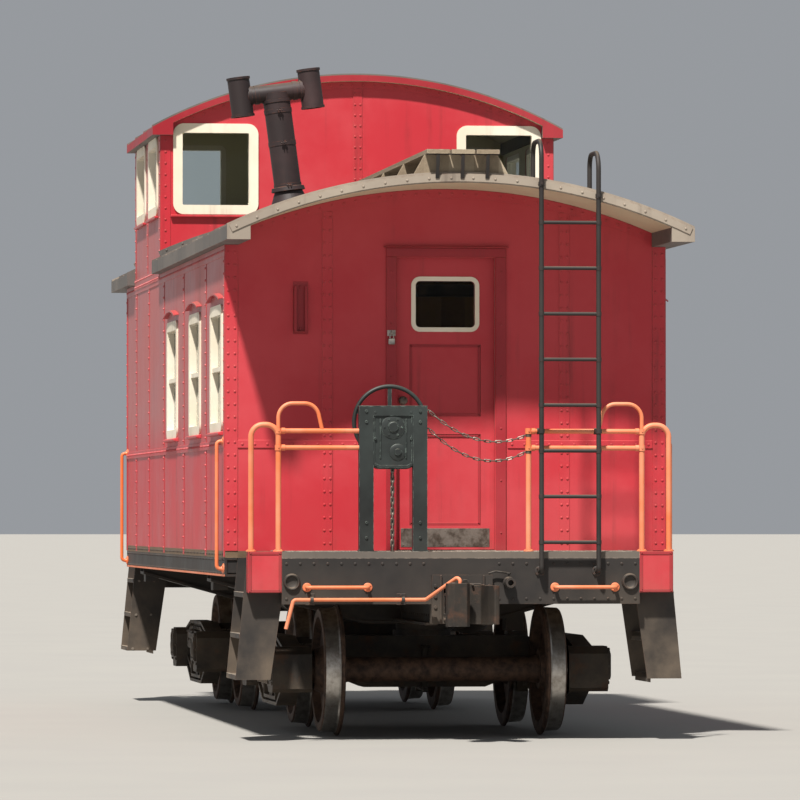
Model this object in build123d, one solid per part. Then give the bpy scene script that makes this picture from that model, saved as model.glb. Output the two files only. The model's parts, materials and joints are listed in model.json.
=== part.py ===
from build123d import *
import math
import os

os.makedirs("parts", exist_ok=True)

# All sizes are in millimetres. X runs along the car, with the end that carries the stove's half
# of the cabin at +X, Y runs across it and Z up. The wheel flanges' lowest points are at zero.

# Heights above the rail head
rail_head = 25.4
platform_height = 1220
eave_height = 3350
roof_rise = 350
cupola_eave_height = 4360
cupola_rise = 400
coupler_height = 876
centre_plate_height = 655

# Body shell
body_length = 7890
body_width = 2970
wall = 90
roof_reach = 35
eave_overhang = 65
roof_thickness = 60
fascia = 90
rib_width = 50
rib_height = 12
rib_spacing = 800
rib_margin = 40
platform_length = 745
floor_thickness = 45
cupola_near_face = -950
cupola_length = 2200
cupola_wall = 70
cupola_roof_thickness = 45
cupola_roof_overhang = 65
cupola_fascia = 60

# Windows: every pane has a frame with an outer flange
corner_radius = 50
frame_width = 40
frame_depth = 66
flange_width = 30
flange_proud = 12
pane_thickness = 6
pane_setback = 40
meeting_rail = 30
side_window = (760, 800)
side_window_sill = 2040
side_window_insets = (545, 2095, 3845)
cupola_end_window = (580, 620)
cupola_end_window_inset = 325
cupola_sill = 3740
cupola_side_window = (720, 530)
cupola_side_window_spacing = 1040

# End doors
door_width = 700
door_height = 1980
door_thickness = 45
door_gap = 8
door_stop = 20
door_window = (440, 350)
door_window_height = 1650
hinge_barrel = 16
hinge_pin = 8
hinge_height = 110
hinge_places = (250, 1000, 1750)

# Underframe
sill_depth = 340
sill_web_gap = 292
sill_plate = 16
sill_flange = 60
floor_beam_depth = 100
floor_beam_width = 60
side_sill_depth = 170
bolster_width = 300
bolster_end_depth = 150
bolster_cover = 20
end_sill_thickness = 90
end_sill_depth = 300

# Trucks and wheels
truck_centres = 5400
wheelbase = 1700
wheel_diameter = 838
back_to_back = 1353
rim_width = 139.7
journal_spacing = 1981.2
journal_diameter = 140
journal_length = 254
bearing_clearance = 1
centre_plate_diameter = 356
centre_plate_lip_clearance = 6
centre_plate_liner_gap = 0.5
side_frame_thickness = 130
frame_rib = 22
frame_pocket = 38

# Fittings
grab_diameter = 25
rail_diameter = 32
hoop_diameter = 36
railing_height = 830
hoop_inset = 80
step_depth = 210
jack_inset = 2220
jack_side = 800
jack_lean = 7.5
flue_diameter = 150

floor_top = rail_head + platform_height
body_end = body_length / 2
body_side = body_width / 2
inner_side = body_side - wall
inner_end = body_end - wall
platform_end = body_end + platform_length
roof_end = platform_end + roof_reach
roof_half = body_side + eave_overhang
hoop_outer = body_side - hoop_inset
hoop_inner = hoop_outer - step_depth
jack_place = (body_end - jack_inset, -jack_side)
cupola_far_face = cupola_near_face - cupola_length
frame_top = floor_top - floor_thickness
sill_top = frame_top - floor_beam_depth
sill_bottom = sill_top - sill_depth
axle_height = wheel_diameter / 2 + rail_head
centre_plate_level = rail_head + centre_plate_height


def span(x, y, z):
    """A block between a low and a high limit along each axis."""
    centre = [(low + high) / 2 for low, high in (x, y, z)]
    return Pos(*centre) * Box(x[1] - x[0], y[1] - y[0], z[1] - z[0])


def across(points, x_low, x_high):
    """A prism along X from an outline of (y, z) points."""
    face = Plane.YZ * make_face(Polyline(*points, close=True))
    return Pos(x_low, 0, 0) * extrude(face, amount=x_high - x_low)


def along(points, y_low, y_high):
    """A prism along Y from an outline of (x, z) points."""
    face = Plane.XZ * make_face(Polyline(*points, close=True))
    return Pos(0, y_low, 0) * extrude(face, amount=y_high - y_low, dir=(0, 1, 0))


def upright(points, z_low, z_high):
    """A prism along Z from an outline of (x, y) points."""
    face = make_face(Polyline(*points, close=True))
    return Pos(0, 0, z_low) * extrude(face, amount=z_high - z_low)


def rod(points, diameter, bend=0):
    """A round bar along straight runs, with its corners bent."""
    path = FilletPolyline(*points, radius=bend) if bend else Polyline(*points)
    return sweep(Plane(origin=path @ 0, z_dir=path % 0) * Circle(diameter / 2), path=path)


def joined(shapes):
    """One node from several shapes, whether they touch or not."""
    result = shapes[0]
    for shape in shapes[1:]:
        result += shape
    return result


def mirrored(shape):
    """The shape and its mirror image across the car's centre line."""
    return shape + mirror(shape, about=Plane.XZ)


def turned(shape):
    """The same piece at the other end of the car."""
    return Rot(0, 0, 180) * shape


# Roofs are arcs of a circle, given by the height of its centre and its radius.
def arch(eave, rise, half_width):
    radius = (half_width**2 + rise**2) / (2 * rise)
    return eave + rise - radius, radius


def arch_height(circle, y, inset=0):
    centre, radius = circle
    return centre + math.sqrt((radius - inset) ** 2 - y**2)


def arched_face(circle, half_width, base, inset=0):
    """The area from a level base up to the arch."""
    shoulder = arch_height(circle, half_width, inset)
    top = ThreePointArc(
        (-half_width, shoulder), (0, arch_height(circle, 0, inset)), (half_width, shoulder)
    )
    sides = Polyline((half_width, shoulder), (half_width, base), (-half_width, base), (-half_width, shoulder))
    return make_face([top, sides])


def arched_block(circle, half_width, base, x, inset=0):
    face = Plane.YZ * arched_face(circle, half_width, base, inset)
    return Pos(x[0], 0, 0) * extrude(face, amount=x[1] - x[0])


roof_circle = arch(rail_head + eave_height, roof_rise, roof_half)
soffit = rail_head + eave_height - fascia
cupola_circle = arch(rail_head + cupola_eave_height, cupola_rise, roof_half)
cupola_soffit = rail_head + cupola_eave_height - cupola_fascia


def roof_shell(circle, base, thickness, bearing, x):
    """An arched shell whose edges rest flat on the walls."""
    outer = arched_block(circle, roof_half, base, x)
    return outer - arched_block(circle, bearing, base, x, thickness)


def roof_ribs(circle, x):
    """Raised seams across an arched roof, evenly spaced from one end to the other."""
    shoulder = arch_height(circle, roof_half)
    section = arched_face(circle, roof_half, shoulder - rib_height, -rib_height)
    section -= arched_face(circle, roof_half, shoulder - 2 * rib_height, rib_height / 2)
    count = max(2, round((x[1] - x[0]) / rib_spacing) + 1)
    first, last = x[0] + rib_margin, x[1] - rib_margin
    places = [first + (last - first) * number / (count - 1) for number in range(count)]
    rib = extrude(Plane.YZ * section, amount=rib_width / 2, both=True)
    return joined([Pos(place, 0, 0) * rib for place in places])


# A wall's plane faces outwards, with its own x along the wall and y up.
def wall_plane(side, place, height):
    outward, right = {
        "left": ((0, -1, 0), (1, 0, 0)),
        "right": ((0, 1, 0), (-1, 0, 0)),
        "near": ((1, 0, 0), (0, 1, 0)),
        "far": ((-1, 0, 0), (0, -1, 0)),
    }[side]
    return Plane(origin=(place[0], place[1], rail_head + height), x_dir=right, z_dir=outward)


def pane_outline(size, inset=0):
    width, height = size[0] - 2 * inset, size[1] - 2 * inset
    return RectangleRounded(width, height, max(corner_radius - inset, 8))


def opening(plane, size):
    return extrude(plane * pane_outline(size), amount=2 * wall, both=True)


def window_frame(plane, size, sashes=1):
    glazed = pane_outline(size, frame_width)
    lining = extrude(plane * (pane_outline(size) - glazed), amount=-frame_depth)
    flange = extrude(plane * (pane_outline(size, -flange_width) - glazed), amount=flange_proud)
    frame = lining + flange
    if sashes == 2:
        rail_face = plane * Rectangle(size[0] - 2 * frame_width, meeting_rail)
        frame += extrude(rail_face, amount=-pane_setback)
    return frame


def window_pane(plane, size):
    face = plane.offset(-pane_setback - pane_thickness) * pane_outline(size, frame_width)
    return extrude(face, amount=pane_thickness)


def window_at(side, place, sill, size):
    """A window's wall, its plane at the window's middle and its size."""
    return side, wall_plane(side, place, sill + size[1] / 2), size


cupola_middle = (cupola_near_face + cupola_far_face) / 2
cupola_side_places = [cupola_middle + hand * cupola_side_window_spacing / 2 for hand in (-1, 1)]
side_windows = [
    window_at(side, (x, hand * body_side), side_window_sill, side_window)
    for side, hand in (("left", -1), ("right", 1))
    for x in [body_end - inset for inset in side_window_insets]
]
cupola_side_windows = [
    window_at(side, (x, hand * body_side), cupola_sill, cupola_side_window)
    for side, hand in (("left", -1), ("right", 1))
    for x in cupola_side_places
]
cupola_end_windows = [
    window_at(side, (x, hand * (inner_side - cupola_end_window_inset)), cupola_sill, cupola_end_window)
    for side, x in (("near", cupola_near_face), ("far", cupola_far_face))
    for hand in (-1, 1)
]
cupola_windows = cupola_side_windows + cupola_end_windows


def pierced(panel, side, windows):
    for place, plane, size in windows:
        if place == side:
            panel -= opening(plane, size)
    return panel


def side_wall(side, hand):
    limits = sorted((hand * inner_side, hand * body_side))
    panel = span((-body_end, body_end), limits, (floor_top, soffit))
    return pierced(panel, side, side_windows)


def end_wall():
    """The near end wall, rebated for the door, which closes against its outer stop."""
    panel = arched_block(roof_circle, inner_side, floor_top, (inner_end, body_end), roof_thickness)
    rebate = inner_end + door_thickness + door_gap
    doorway = span(
        (inner_end, rebate), (-door_width / 2, door_width / 2), (floor_top, floor_top + door_height)
    )
    clear = door_width / 2 - door_stop
    way_out = span((rebate, body_end), (-clear, clear), (floor_top, floor_top + door_height - door_stop))
    return panel - doorway - way_out + hinge_halves(1, (-1, 1))


def cupola_side(side, hand):
    limits = sorted((hand * (body_side - cupola_wall), hand * body_side))
    panel = span(
        (cupola_far_face + cupola_wall, cupola_near_face - cupola_wall), limits, (soffit, cupola_soffit)
    )
    return pierced(panel, side, cupola_side_windows)


def cupola_end(side, face, inward):
    limits = sorted((face, face + inward * cupola_wall))
    low = span(limits, (-body_side, body_side), (soffit, cupola_soffit))
    crown = arched_block(cupola_circle, inner_side, soffit, limits, cupola_roof_thickness)
    return pierced(low + crown, side, cupola_end_windows)


roof_lengths = ((-roof_end, cupola_far_face), (cupola_near_face, roof_end))


def main_roof():
    """Two arched lengths, either side of the cupola, with a hole for the flue."""
    parts = [
        roof_shell(roof_circle, soffit, roof_thickness, inner_side, x) + roof_ribs(roof_circle, x)
        for x in roof_lengths
    ]
    flue_hole = Pos(*jack_place, soffit) * Cylinder(flue_diameter / 2 + 10, 1500)
    return parts[0] + (parts[1] - flue_hole)


def cupola_roof():
    x = (cupola_far_face - cupola_roof_overhang, cupola_near_face + cupola_roof_overhang)
    shell = roof_shell(cupola_circle, cupola_soffit, cupola_roof_thickness, inner_side, x)
    return shell + roof_ribs(cupola_circle, x)


def roof_cutter():
    """Everything below the main roof's outer face, to seat what stands on it."""
    cutter = arched_block(roof_circle, roof_half, soffit, (-roof_end, roof_end))
    return cutter + joined([roof_ribs(roof_circle, x) for x in roof_lengths])


# Door
door_leaf_x = (inner_end, inner_end + door_thickness)
door_trim_proud = 8
door_panel_recess = 10
door_panel_width = 480
door_panel_heights = ((170, 780), (900, 1380))
door_pin = (inner_end - hinge_barrel / 2 - 2, door_width / 2)
pin_clearance = 0.3
knuckle_gap = 0.5
hinge_plate = 4
hinge_plate_width = 70
plate_gap = 3


def hinge_halves(hand, thirds):
    """One half of each door hinge: its plate, at +Y or -Y of the pin, and its knuckles by height."""
    x, y = door_pin
    face = inner_end
    third = hinge_height / 3
    inner = y + hand * plate_gap / 2
    clear = hinge_barrel / 2 + 2
    parts = []
    for place in hinge_places:
        centre = floor_top + place
        plate_y = sorted((inner, inner + hand * hinge_plate_width))
        plate_z = (centre - hinge_height / 2, centre + hinge_height / 2)
        halves = span((face - hinge_plate, face), plate_y, plate_z)
        for number in (-1, 0, 1):
            z = centre + number * third
            height = third - 2 * knuckle_gap
            web_y = sorted((y, inner + hand * plate_gap))
            knuckle = Pos(x, y, z) * Cylinder(hinge_barrel / 2, height)
            knuckle += span((x, face), web_y, (z - height / 2, z + height / 2))
            if number in thirds:
                halves += knuckle
            else:
                halves -= Pos(x, y, z) * Cylinder(clear, third)
        if hand > 0:
            halves += Pos(x, y, centre) * Cylinder(hinge_pin / 2, hinge_height)
        else:
            halves -= Pos(x, y, centre) * Cylinder(hinge_pin / 2 + pin_clearance, hinge_height)
        parts.append(halves)
    return joined(parts)


def door_leaf():
    """The leaf with its framed window, two sunk panels and its halves of the hinges."""
    half = door_width / 2 - door_gap
    leaf = span(door_leaf_x, (-half, half), (floor_top + door_gap, floor_top + door_height - door_gap))
    plane = wall_plane("near", (door_leaf_x[1], 0), door_window_height + platform_height)
    leaf -= extrude(plane * pane_outline(door_window, frame_width / 2), amount=-door_thickness)
    trim = pane_outline(door_window, -frame_width / 4) - pane_outline(door_window, frame_width / 2)
    leaf += extrude(plane * trim, amount=door_trim_proud)
    for low, high in door_panel_heights:
        panel = span(
            (door_leaf_x[1] - door_panel_recess, door_leaf_x[1]),
            (-door_panel_width / 2, door_panel_width / 2), (floor_top + low, floor_top + high),
        )
        leaf -= panel
    return leaf + hinge_halves(-1, (0,))


def door_pane():
    plane = wall_plane("near", (door_leaf_x[1], 0), door_window_height + platform_height)
    face = plane.offset(-door_thickness / 2) * pane_outline(door_window, frame_width / 2)
    return extrude(face, amount=pane_thickness)


# Underframe
web_outer = sill_web_gap / 2 + sill_plate
sill_end = platform_end - end_sill_thickness


def sill_outline(hollow):
    """The centre sill's hat section, with its flanges turned out at the bottom."""
    flange = web_outer + sill_flange
    inner = sill_web_gap / 2
    points = [
        (-flange, sill_bottom), (-flange, sill_bottom + sill_plate), (-web_outer, sill_bottom + sill_plate),
        (-web_outer, sill_top), (web_outer, sill_top), (web_outer, sill_bottom + sill_plate),
        (flange, sill_bottom + sill_plate), (flange, sill_bottom),
    ]
    if hollow:
        points += [
            (inner, sill_bottom), (inner, sill_top - sill_plate),
            (-inner, sill_top - sill_plate), (-inner, sill_bottom),
        ]
    return points


def centre_sill():
    return across(sill_outline(True), -sill_end, sill_end)


side_sill_bottom = floor_top - side_sill_depth
side_sill_width = 80
side_sill_plate = 14
platform_beam = hoop_inner - 45
end_beam_inset = 40
beam_spacing = 900
beam_places = [number * beam_spacing for number in (-2, -1, 0, 1, 2)]
train_pipe_place = (310, sill_top - 60)
train_pipe_diameter = 42
train_pipe_clearance = 8


def side_sill():
    """A channel with its web outside, cut off square at the body's ends."""
    inner = body_side - side_sill_width
    web = body_side - side_sill_plate
    upper, lower = frame_top - side_sill_plate, side_sill_bottom + side_sill_plate
    outline = [
        (body_side, side_sill_bottom), (body_side, frame_top), (inner, frame_top), (inner, upper),
        (web, upper), (web, lower), (inner, lower), (inner, side_sill_bottom),
    ]
    return across(outline, -body_end, body_end)


side_bearing_place = 635
side_bearing_level = centre_plate_level + 2
side_bearing_gap = 8
jack_pad_inset = 85
jack_pad_place = body_side - jack_pad_inset
jack_pad_level = rail_head + 945


def body_bolster(x):
    """Two tapered webs on a cover plate, with the centre plate below and pads for the side bearings."""
    half = bolster_width / 2
    edge = body_side - side_sill_plate
    knee = 420
    low = sill_bottom
    tip = frame_top - bolster_end_depth
    web = [(0, low), (knee, low), (edge, tip), (edge, frame_top), (0, frame_top)]
    cover_low, tip_low = low - bolster_cover, tip - bolster_cover
    cover = [(0, cover_low), (knee, cover_low), (edge, tip_low), (edge, tip), (knee, low), (0, low)]
    beam = across(cover, x - half, x + half)
    for place in (x - half + 20, x + half - 34):
        beam += across(web, place, place + 14)
    pad_bottom = side_bearing_level + side_bearing_gap
    pad_top = low + 120
    pad = span((x - 90, x + 90), (side_bearing_place - 60, side_bearing_place + 60), (pad_bottom, pad_top))
    pad += span((x - 80, x + 80), (jack_pad_place - 50, jack_pad_place + 50), (jack_pad_level, tip))
    slope = [(knee, cover_low), (edge, tip_low), (edge, frame_top), (knee, frame_top)]
    beam += pad - across(slope, x - half, x + half)
    plate_low = centre_plate_level + centre_plate_liner_gap
    plate_height = cover_low - plate_low
    plate = Pos(x, 0, plate_low + plate_height / 2) * Cylinder(centre_plate_diameter / 2, plate_height)
    return beam, plate


def floor_beams():
    """Beams over the centre sill, coped into the side sills, with the platforms' side beams at the ends."""
    beams = []
    for x in beam_places:
        beams.append(floor_beam(x))
    for end in (-1, 1):
        beam = floor_beam(end * (body_end - end_beam_inset))
        x = sorted((end * (body_end - end_beam_inset), end * sill_end))
        beam += mirrored(span(x, (platform_beam - 40, platform_beam), (sill_top, frame_top)))
        beams.append(beam)
    return joined(beams) - mirrored(side_sill())


def floor_beam(x):
    half = floor_beam_width / 2
    reach = body_side - side_sill_plate
    return span((x - half, x + half), (-reach, reach), (sill_top, frame_top))


def body_bolsters():
    """Both bolsters, fitted round the centre sill and into the side sills."""
    parts = []
    for x in (-truck_centres / 2, truck_centres / 2):
        beam, plate = body_bolster(x)
        parts.append(mirrored(beam) + plate)
    frame = joined(parts) - across(sill_outline(False), -sill_end, sill_end)
    return without_pipe(frame - mirrored(side_sill()))


def without_pipe(shape):
    """Cuts clearance holes where the brake pipe passes."""
    y, z = train_pipe_place
    hole = Cylinder(train_pipe_diameter / 2 + train_pipe_clearance, 2 * platform_end)
    return shape - Pos(0, y, z) * Rot(0, 90, 0) * hole


def floor():
    return span((-body_end, body_end), (-body_side, body_side), (frame_top, floor_top))


step_inner_x = body_end + 45
well_edge = hoop_inner - 10


def platform():
    """The near platform, between the step wells."""
    return span((body_end, platform_end), (-well_edge, well_edge), (frame_top, floor_top))


shank_height = 165
shank_width = 130
coupler_level = rail_head + coupler_height


def end_sill():
    """The near end sill, with a striker round the coupler's shank, which rests on its lower bar."""
    x = (sill_end, platform_end)
    beam = span(x, (-well_edge, well_edge), (frame_top - end_sill_depth, frame_top))
    striker = span((sill_end, platform_end + 40), (-200, 200), (coupler_level - 130, coupler_level + 190))
    throat = span(
        (sill_end, platform_end + 40), (-125, 125), (coupler_level - shank_height / 2, coupler_level + 110)
    )
    return beam + striker - throat


tread_rise = 270
tread_count = 3
tread_thickness = 30
tread_length = sill_end - step_inner_x
stringer = 12
step_slope = 25


def steps():
    """Treads between two stringers, each tread a little further out than the one above."""
    lowest = floor_top - tread_count * tread_rise - tread_thickness
    drift = step_slope * tread_count
    outline = [
        (platform_beam, frame_top), (hoop_outer, frame_top), (hoop_outer + drift, lowest),
        (hoop_inner + drift - 20, lowest), (platform_beam, frame_top - floor_beam_depth),
    ]
    parts = [across(outline, x, x + stringer) for x in (step_inner_x, sill_end - stringer)]
    for number in range(1, tread_count + 1):
        out = hoop_outer + step_slope * number
        z = floor_top - number * tread_rise
        x = (step_inner_x + stringer, sill_end - stringer)
        parts.append(span(x, (out - step_depth, out), (z - tread_thickness, z)))
    return joined(parts)


def step_panel():
    """The painted corner box that closes the steps' outer end and carries both hoop bars."""
    return span(
        (sill_end, platform_end), (well_edge, hoop_outer), (floor_top - tread_rise, floor_top)
    )


top_rail_drop = 40
rail_spacing = 110
handhold_rise = 140
handhold_reach = 290
rail_x = platform_end - 35
brake_stand = (-675, -225)
gate_post = 450


def railing():
    """Corner hoops, top rails and raised handholds of the near platform."""
    top = floor_top + railing_height
    outer, inner = hoop_outer - 20, hoop_inner + 10
    upper, lower = top - top_rail_drop, top - top_rail_drop - rail_spacing
    parts = []
    for hand, stop in ((-1, -brake_stand[0]), (1, gate_post)):
        hoop = [(outer, floor_top), (outer, top), (inner, top), (inner, floor_top)]
        crest = top + handhold_rise
        far_leg = inner - handhold_reach
        handhold = [(inner, top - 60), (inner, crest), (far_leg + 40, crest), (far_leg, upper)]
        parts.append(rod([(rail_x, hand * y, z) for y, z in hoop], hoop_diameter, 80))
        parts.append(rod([(rail_x, hand * y, z) for y, z in handhold], rail_diameter - 6, 95))
        for z in (upper, lower):
            parts.append(rod([(rail_x, hand * inner, z), (rail_x, hand * stop, z)], rail_diameter))
    parts.append(rod([(rail_x, gate_post, floor_top), (rail_x, gate_post, upper + 20)], hoop_diameter))
    return joined(parts)


ladder_x = platform_end + 75
ladder_stiles = (520, 900)
rung_spacing = 300
ladder_hook = 260


def ladder():
    """The near roof ladder, whose stiles hook over onto the roof."""
    foot = floor_top - 130
    landing = roof_end - 330
    parts = []
    for y in ladder_stiles:
        crest = arch_height(roof_circle, y) + ladder_hook
        landed = crest - ladder_hook - 40
        path = [
            (platform_end, foot), (ladder_x, foot), (ladder_x, crest), (landing, crest), (landing, landed),
        ]
        parts.append(rod([(x, y, z) for x, z in path], rail_diameter, [30, 120, 90]))
    rungs = int((arch_height(roof_circle, ladder_stiles[1]) - floor_top) / rung_spacing) + 1
    for number in range(rungs):
        z = floor_top + 60 + number * rung_spacing
        parts.append(rod([(ladder_x, y, z) for y in ladder_stiles], rail_diameter - 8))
    return joined(parts) - roof_cutter()


brake_post = 95
brake_post_depth = 60
brake_stand_height = 950
brake_wheel_height = 850
brake_wheel_radius = 236
brake_spokes = 5
brake_housing = (290, 400)
brake_housing_height = 740
brake_housing_depth = 110


def hand_brake():
    """Two posts that carry the geared hand brake, its wheel on the platform's side."""
    low, high = brake_stand
    stand_x = (rail_x - brake_post_depth / 2, rail_x + brake_post_depth / 2)
    top = floor_top + brake_stand_height
    frame = span(stand_x, (low, low + brake_post), (floor_top, top))
    frame += span(stand_x, (high - brake_post, high), (floor_top, top))
    frame += span(stand_x, (low, high), (top - 60, top))
    centre = (low + high) / 2
    wheel_z = floor_top + brake_wheel_height
    housing_z = floor_top + brake_housing_height
    face = Plane.YZ * Pos(centre, housing_z) * RectangleRounded(*brake_housing, 60)
    back = rail_x - brake_housing_depth + 20
    frame += Pos(back, 0, 0) * extrude(face, amount=brake_housing_depth)
    frame += Pos(back - 45, centre, wheel_z) * Rot(0, 90, 0) * Cylinder(32, 90)
    wheel = Torus(brake_wheel_radius, 14)
    for turn in range(brake_spokes):
        spoke = Pos(-brake_wheel_radius / 2, 0, 0) * Box(brake_wheel_radius, 26, 12)
        wheel += Rot(0, 0, 360 / brake_spokes * turn) * spoke
    frame += Pos(back - 75, centre, wheel_z) * Rot(0, 90, 0) * wheel
    chain_x = rail_x - brake_post_depth / 2
    foot = housing_z - brake_housing[1] / 2 + 10
    frame += rod([(chain_x, centre, floor_top), (chain_x, centre, foot)], 22)
    return frame


coupler_reach = 560
coupler_face = platform_end + coupler_reach
coupler_head_depth = 250


def coupler():
    """A knuckle coupler, its plan outline drawn from the pulling face, with the knuckle at -Y."""
    head_plan = [
        (-340, -70), (-240, -140), (-80, -165), (-45, -95), (-110, -60), (-150, 0), (-125, 75), (-20, 105),
        (45, 140), (38, 172), (-120, 172), (-250, 140), (-340, 70),
    ]
    knuckle_plan = [
        (-85, -168), (-25, -160), (0, -120), (0, -35), (-30, -12), (-70, -25), (-80, -62), (-50, -95),
    ]
    place = Pos(coupler_face - 45, 0, coupler_level)
    head = upright(head_plan, -coupler_head_depth / 2, coupler_head_depth / 2)
    head = fillet(head.edges().filter_by(Axis.Z), 14)
    knuckle = upright(knuckle_plan, -140, 140)
    knuckle = fillet(knuckle.edges().filter_by(Axis.Z), 10)
    shank_start = sill_end - 40 - coupler_face + 45
    shank = Pos((shank_start - 330) / 2, 0, 0) * Box(-330 - shank_start, shank_width, shank_height)
    return place * (head + knuckle + shank)


lever_gap = 0.6
end_grab = (620, 1020)
end_grab_height = 985


def end_grabs():
    """Handholds on the near end sill."""
    z = rail_head + end_grab_height
    stand = platform_end + 60
    inner, outer = end_grab
    path = [(platform_end, inner), (stand, inner), (stand, outer), (platform_end, outer)]
    return joined([rod([(x, hand * y, z) for x, y in path], grab_diameter, 25) for hand in (-1, 1)])


def uncoupling_lever():
    """A rod along the end sill, with its handle at the corner and its end on the coupler."""
    x = platform_end + 105
    z = frame_top - end_sill_depth + 30
    eye = coupler_face - 265
    head_top = coupler_level + coupler_head_depth / 2 + lever_gap
    path = [
        (x, -1170, z - 190), (x, -1120, z), (x, -250, z), (eye, -50, head_top + 64), (eye, -50, head_top),
    ]
    parts = [rod(path, grab_diameter, 25)]
    for y in (-1000, -400):
        parts.append(rod([(platform_end, y, z), (x, y, z)], grab_diameter - 5))
    return joined(parts)


side_grab_reach = (floor_top - 120, floor_top + 730)


def side_grab():
    """One vertical handhold on the body's side, at the near left corner."""
    x = body_end - 75
    stand = -body_side - 48
    foot, head = side_grab_reach
    path = [(-body_side, foot), (stand, foot), (stand, head), (-body_side, head)]
    return rod([(x, y, z) for y, z in path], grab_diameter, 25)


board_width = 150
board_gap = 15
board_thickness = 28
board_top = 155
board_overhang = 60
saddle_inset = 120
saddle_spacing = 1100
saddle_clear = 90


def running_boards():
    """Three boards along the roof's crown on saddles that follow its curve."""
    high = arch_height(roof_circle, 0) + board_top
    low = high - board_thickness
    foot = arch_height(roof_circle, 330) - 20
    half = 1.5 * board_width + board_gap
    reach = roof_end + board_overhang
    parts = []
    for x in ((-reach, cupola_far_face - saddle_clear), (cupola_near_face + saddle_clear, reach)):
        for number in (-1, 0, 1):
            y = number * (board_width + board_gap)
            parts.append(span(x, (y - board_width / 2, y + board_width / 2), (low, high)))
        count = max(2, round((x[1] - x[0]) / saddle_spacing) + 1)
        first, last = x[0] + saddle_inset, x[1] - saddle_inset
        for number in range(count):
            place = first + (last - first) * number / (count - 1)
            outline = [(-half - 90, foot), (half + 90, foot), (half, low), (-half, low)]
            parts.append(across(outline, place - 25, place + 25))
    return joined(parts) - roof_cutter()


def smoke_jack():
    """A leaning pipe on a flashing cone, under an H-shaped cowl."""
    pipe = 95
    reach = 830
    bore = pipe - 6
    arm, arm_reach, cowl, cowl_height = 62, 250, 78, 280
    body = Cylinder(pipe, reach, align=(Align.CENTER, Align.CENTER, Align.MIN))
    body += Pos(0, 0, -60) * Cone(175, pipe, 200, align=(Align.CENTER, Align.CENTER, Align.MIN))
    body += Pos(0, 0, reach) * Rot(90, 0, 0) * Cylinder(arm, 2 * arm_reach)
    for hand in (-1, 1):
        body += Pos(0, hand * arm_reach, reach) * Cylinder(cowl, cowl_height)
    for hand in (-1, 1):
        body -= Pos(0, hand * arm_reach, reach) * Cylinder(cowl - 6, cowl_height)
    body -= Pos(0, 0, -60) * Cylinder(bore, reach, align=(Align.CENTER, Align.CENTER, Align.MIN))
    x, y = jack_place
    placed = Pos(x, y, arch_height(roof_circle, y)) * Rot(jack_lean, 0, 0) * body
    return placed - roof_cutter()


def stove():
    """A pot-bellied stove on its legs, with the flue up to the roof."""
    x, y = jack_place
    flue_top = arch_height(roof_circle, y) - floor_top
    outline = Polyline(
        (0, 120), (190, 120), (215, 180), (235, 420), (215, 620), (150, 760), (210, 800), (210, 830),
        (flue_diameter / 2, 845), (flue_diameter / 2, flue_top), (0, flue_top), close=True,
    )
    body = revolve(Plane.XZ * make_face(outline), axis=Axis.Z)
    for turn in range(4):
        leg = Pos(150, 0, 65) * Box(50, 40, 130)
        body += Rot(0, 0, 45 + 90 * turn) * leg
    return Pos(x, y, floor_top) * body


bench_seat = 450
bench_back = 860
bench_depth = 540
left_bench = (155, 1300)
right_bench = (955, 2000)
plank = 30
desk = (600, 1050)
desk_depth = 600
desk_top = 740


def benches():
    """A wooden bench on each side, and the desk on the left."""
    parts = []
    # each bench: its distance from the end wall and its length
    for (gap, length), hand in ((left_bench, -1), (right_bench, 1)):
        x = (inner_end - gap - length, inner_end - gap)
        back, front = inner_side, inner_side - bench_depth
        bench = span(x, (front, back), (floor_top + bench_seat - plank, floor_top + bench_seat))
        bench += span(x, (back - plank, back), (floor_top, floor_top + bench_back))
        for end in (x[0], x[1] - plank):
            bench += span((end, end + plank), (front, back), (floor_top, floor_top + bench_seat))
        parts.append(bench if hand > 0 else mirror(bench, about=Plane.XZ))
    top = floor_top + desk_top
    x = (cupola_near_face + desk[0], cupola_near_face + desk[0] + desk[1])
    parts.append(span(x, (-inner_side, -inner_side + desk_depth), (top - plank, top)))
    for foot in (x[0], x[1] - plank):
        y = (-inner_side, -inner_side + desk_depth - 40)
        parts.append(span((foot, foot + plank), y, (floor_top, top - plank)))
    return joined(parts)


locker_height = 1600
locker_top = floor_top + locker_height
aisle = 400


def lockers():
    """Steel lockers under the cupola, open to the floor they stand on."""
    x = (cupola_far_face + cupola_wall, cupola_near_face - cupola_wall)
    sheet = 20
    box = span(x, (aisle, inner_side), (floor_top, locker_top))
    hollow = span(
        (x[0] + sheet, x[1] - sheet), (aisle + sheet, inner_side - sheet), (floor_top, locker_top - sheet)
    )
    return mirrored(box - hollow)


cupola_seat_height = 400
cupola_seat_reach = 470
cupola_seat_back = 520


def cupola_seats():
    """Back-to-back seats on each locker, facing both ways along the car."""
    y = (aisle + 120, inner_side - 40)
    x = cupola_middle
    seat_top = locker_top + cupola_seat_height
    seats = span((x - cupola_seat_reach, x + cupola_seat_reach), y, (locker_top, seat_top))
    seats += span((x - 40, x + 40), y, (seat_top, seat_top + cupola_seat_back))
    return mirrored(seats)


# Tanks below the floor
tanks = (
    # x from, x to, y, radius
    (-700, -150, -520, 135),
    (150, 1150, 560, 200),
    (-1300, -850, 620, 160),
)


def brake_gear():
    """The brake cylinder and reservoirs, hung from the floor."""
    parts = []
    for low, high, y, radius in tanks:
        z = sill_top - radius - 60
        tank = fillet(Cylinder(radius, high - low).edges(), radius * 0.35)
        parts.append(Pos((low + high) / 2, y, z) * Rot(0, 90, 0) * tank)
        for x in (low + 110, high - 150):
            parts.append(span((x, x + 40), (y - 30, y + 30), (z, frame_top)))
    return joined(parts)


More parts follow.
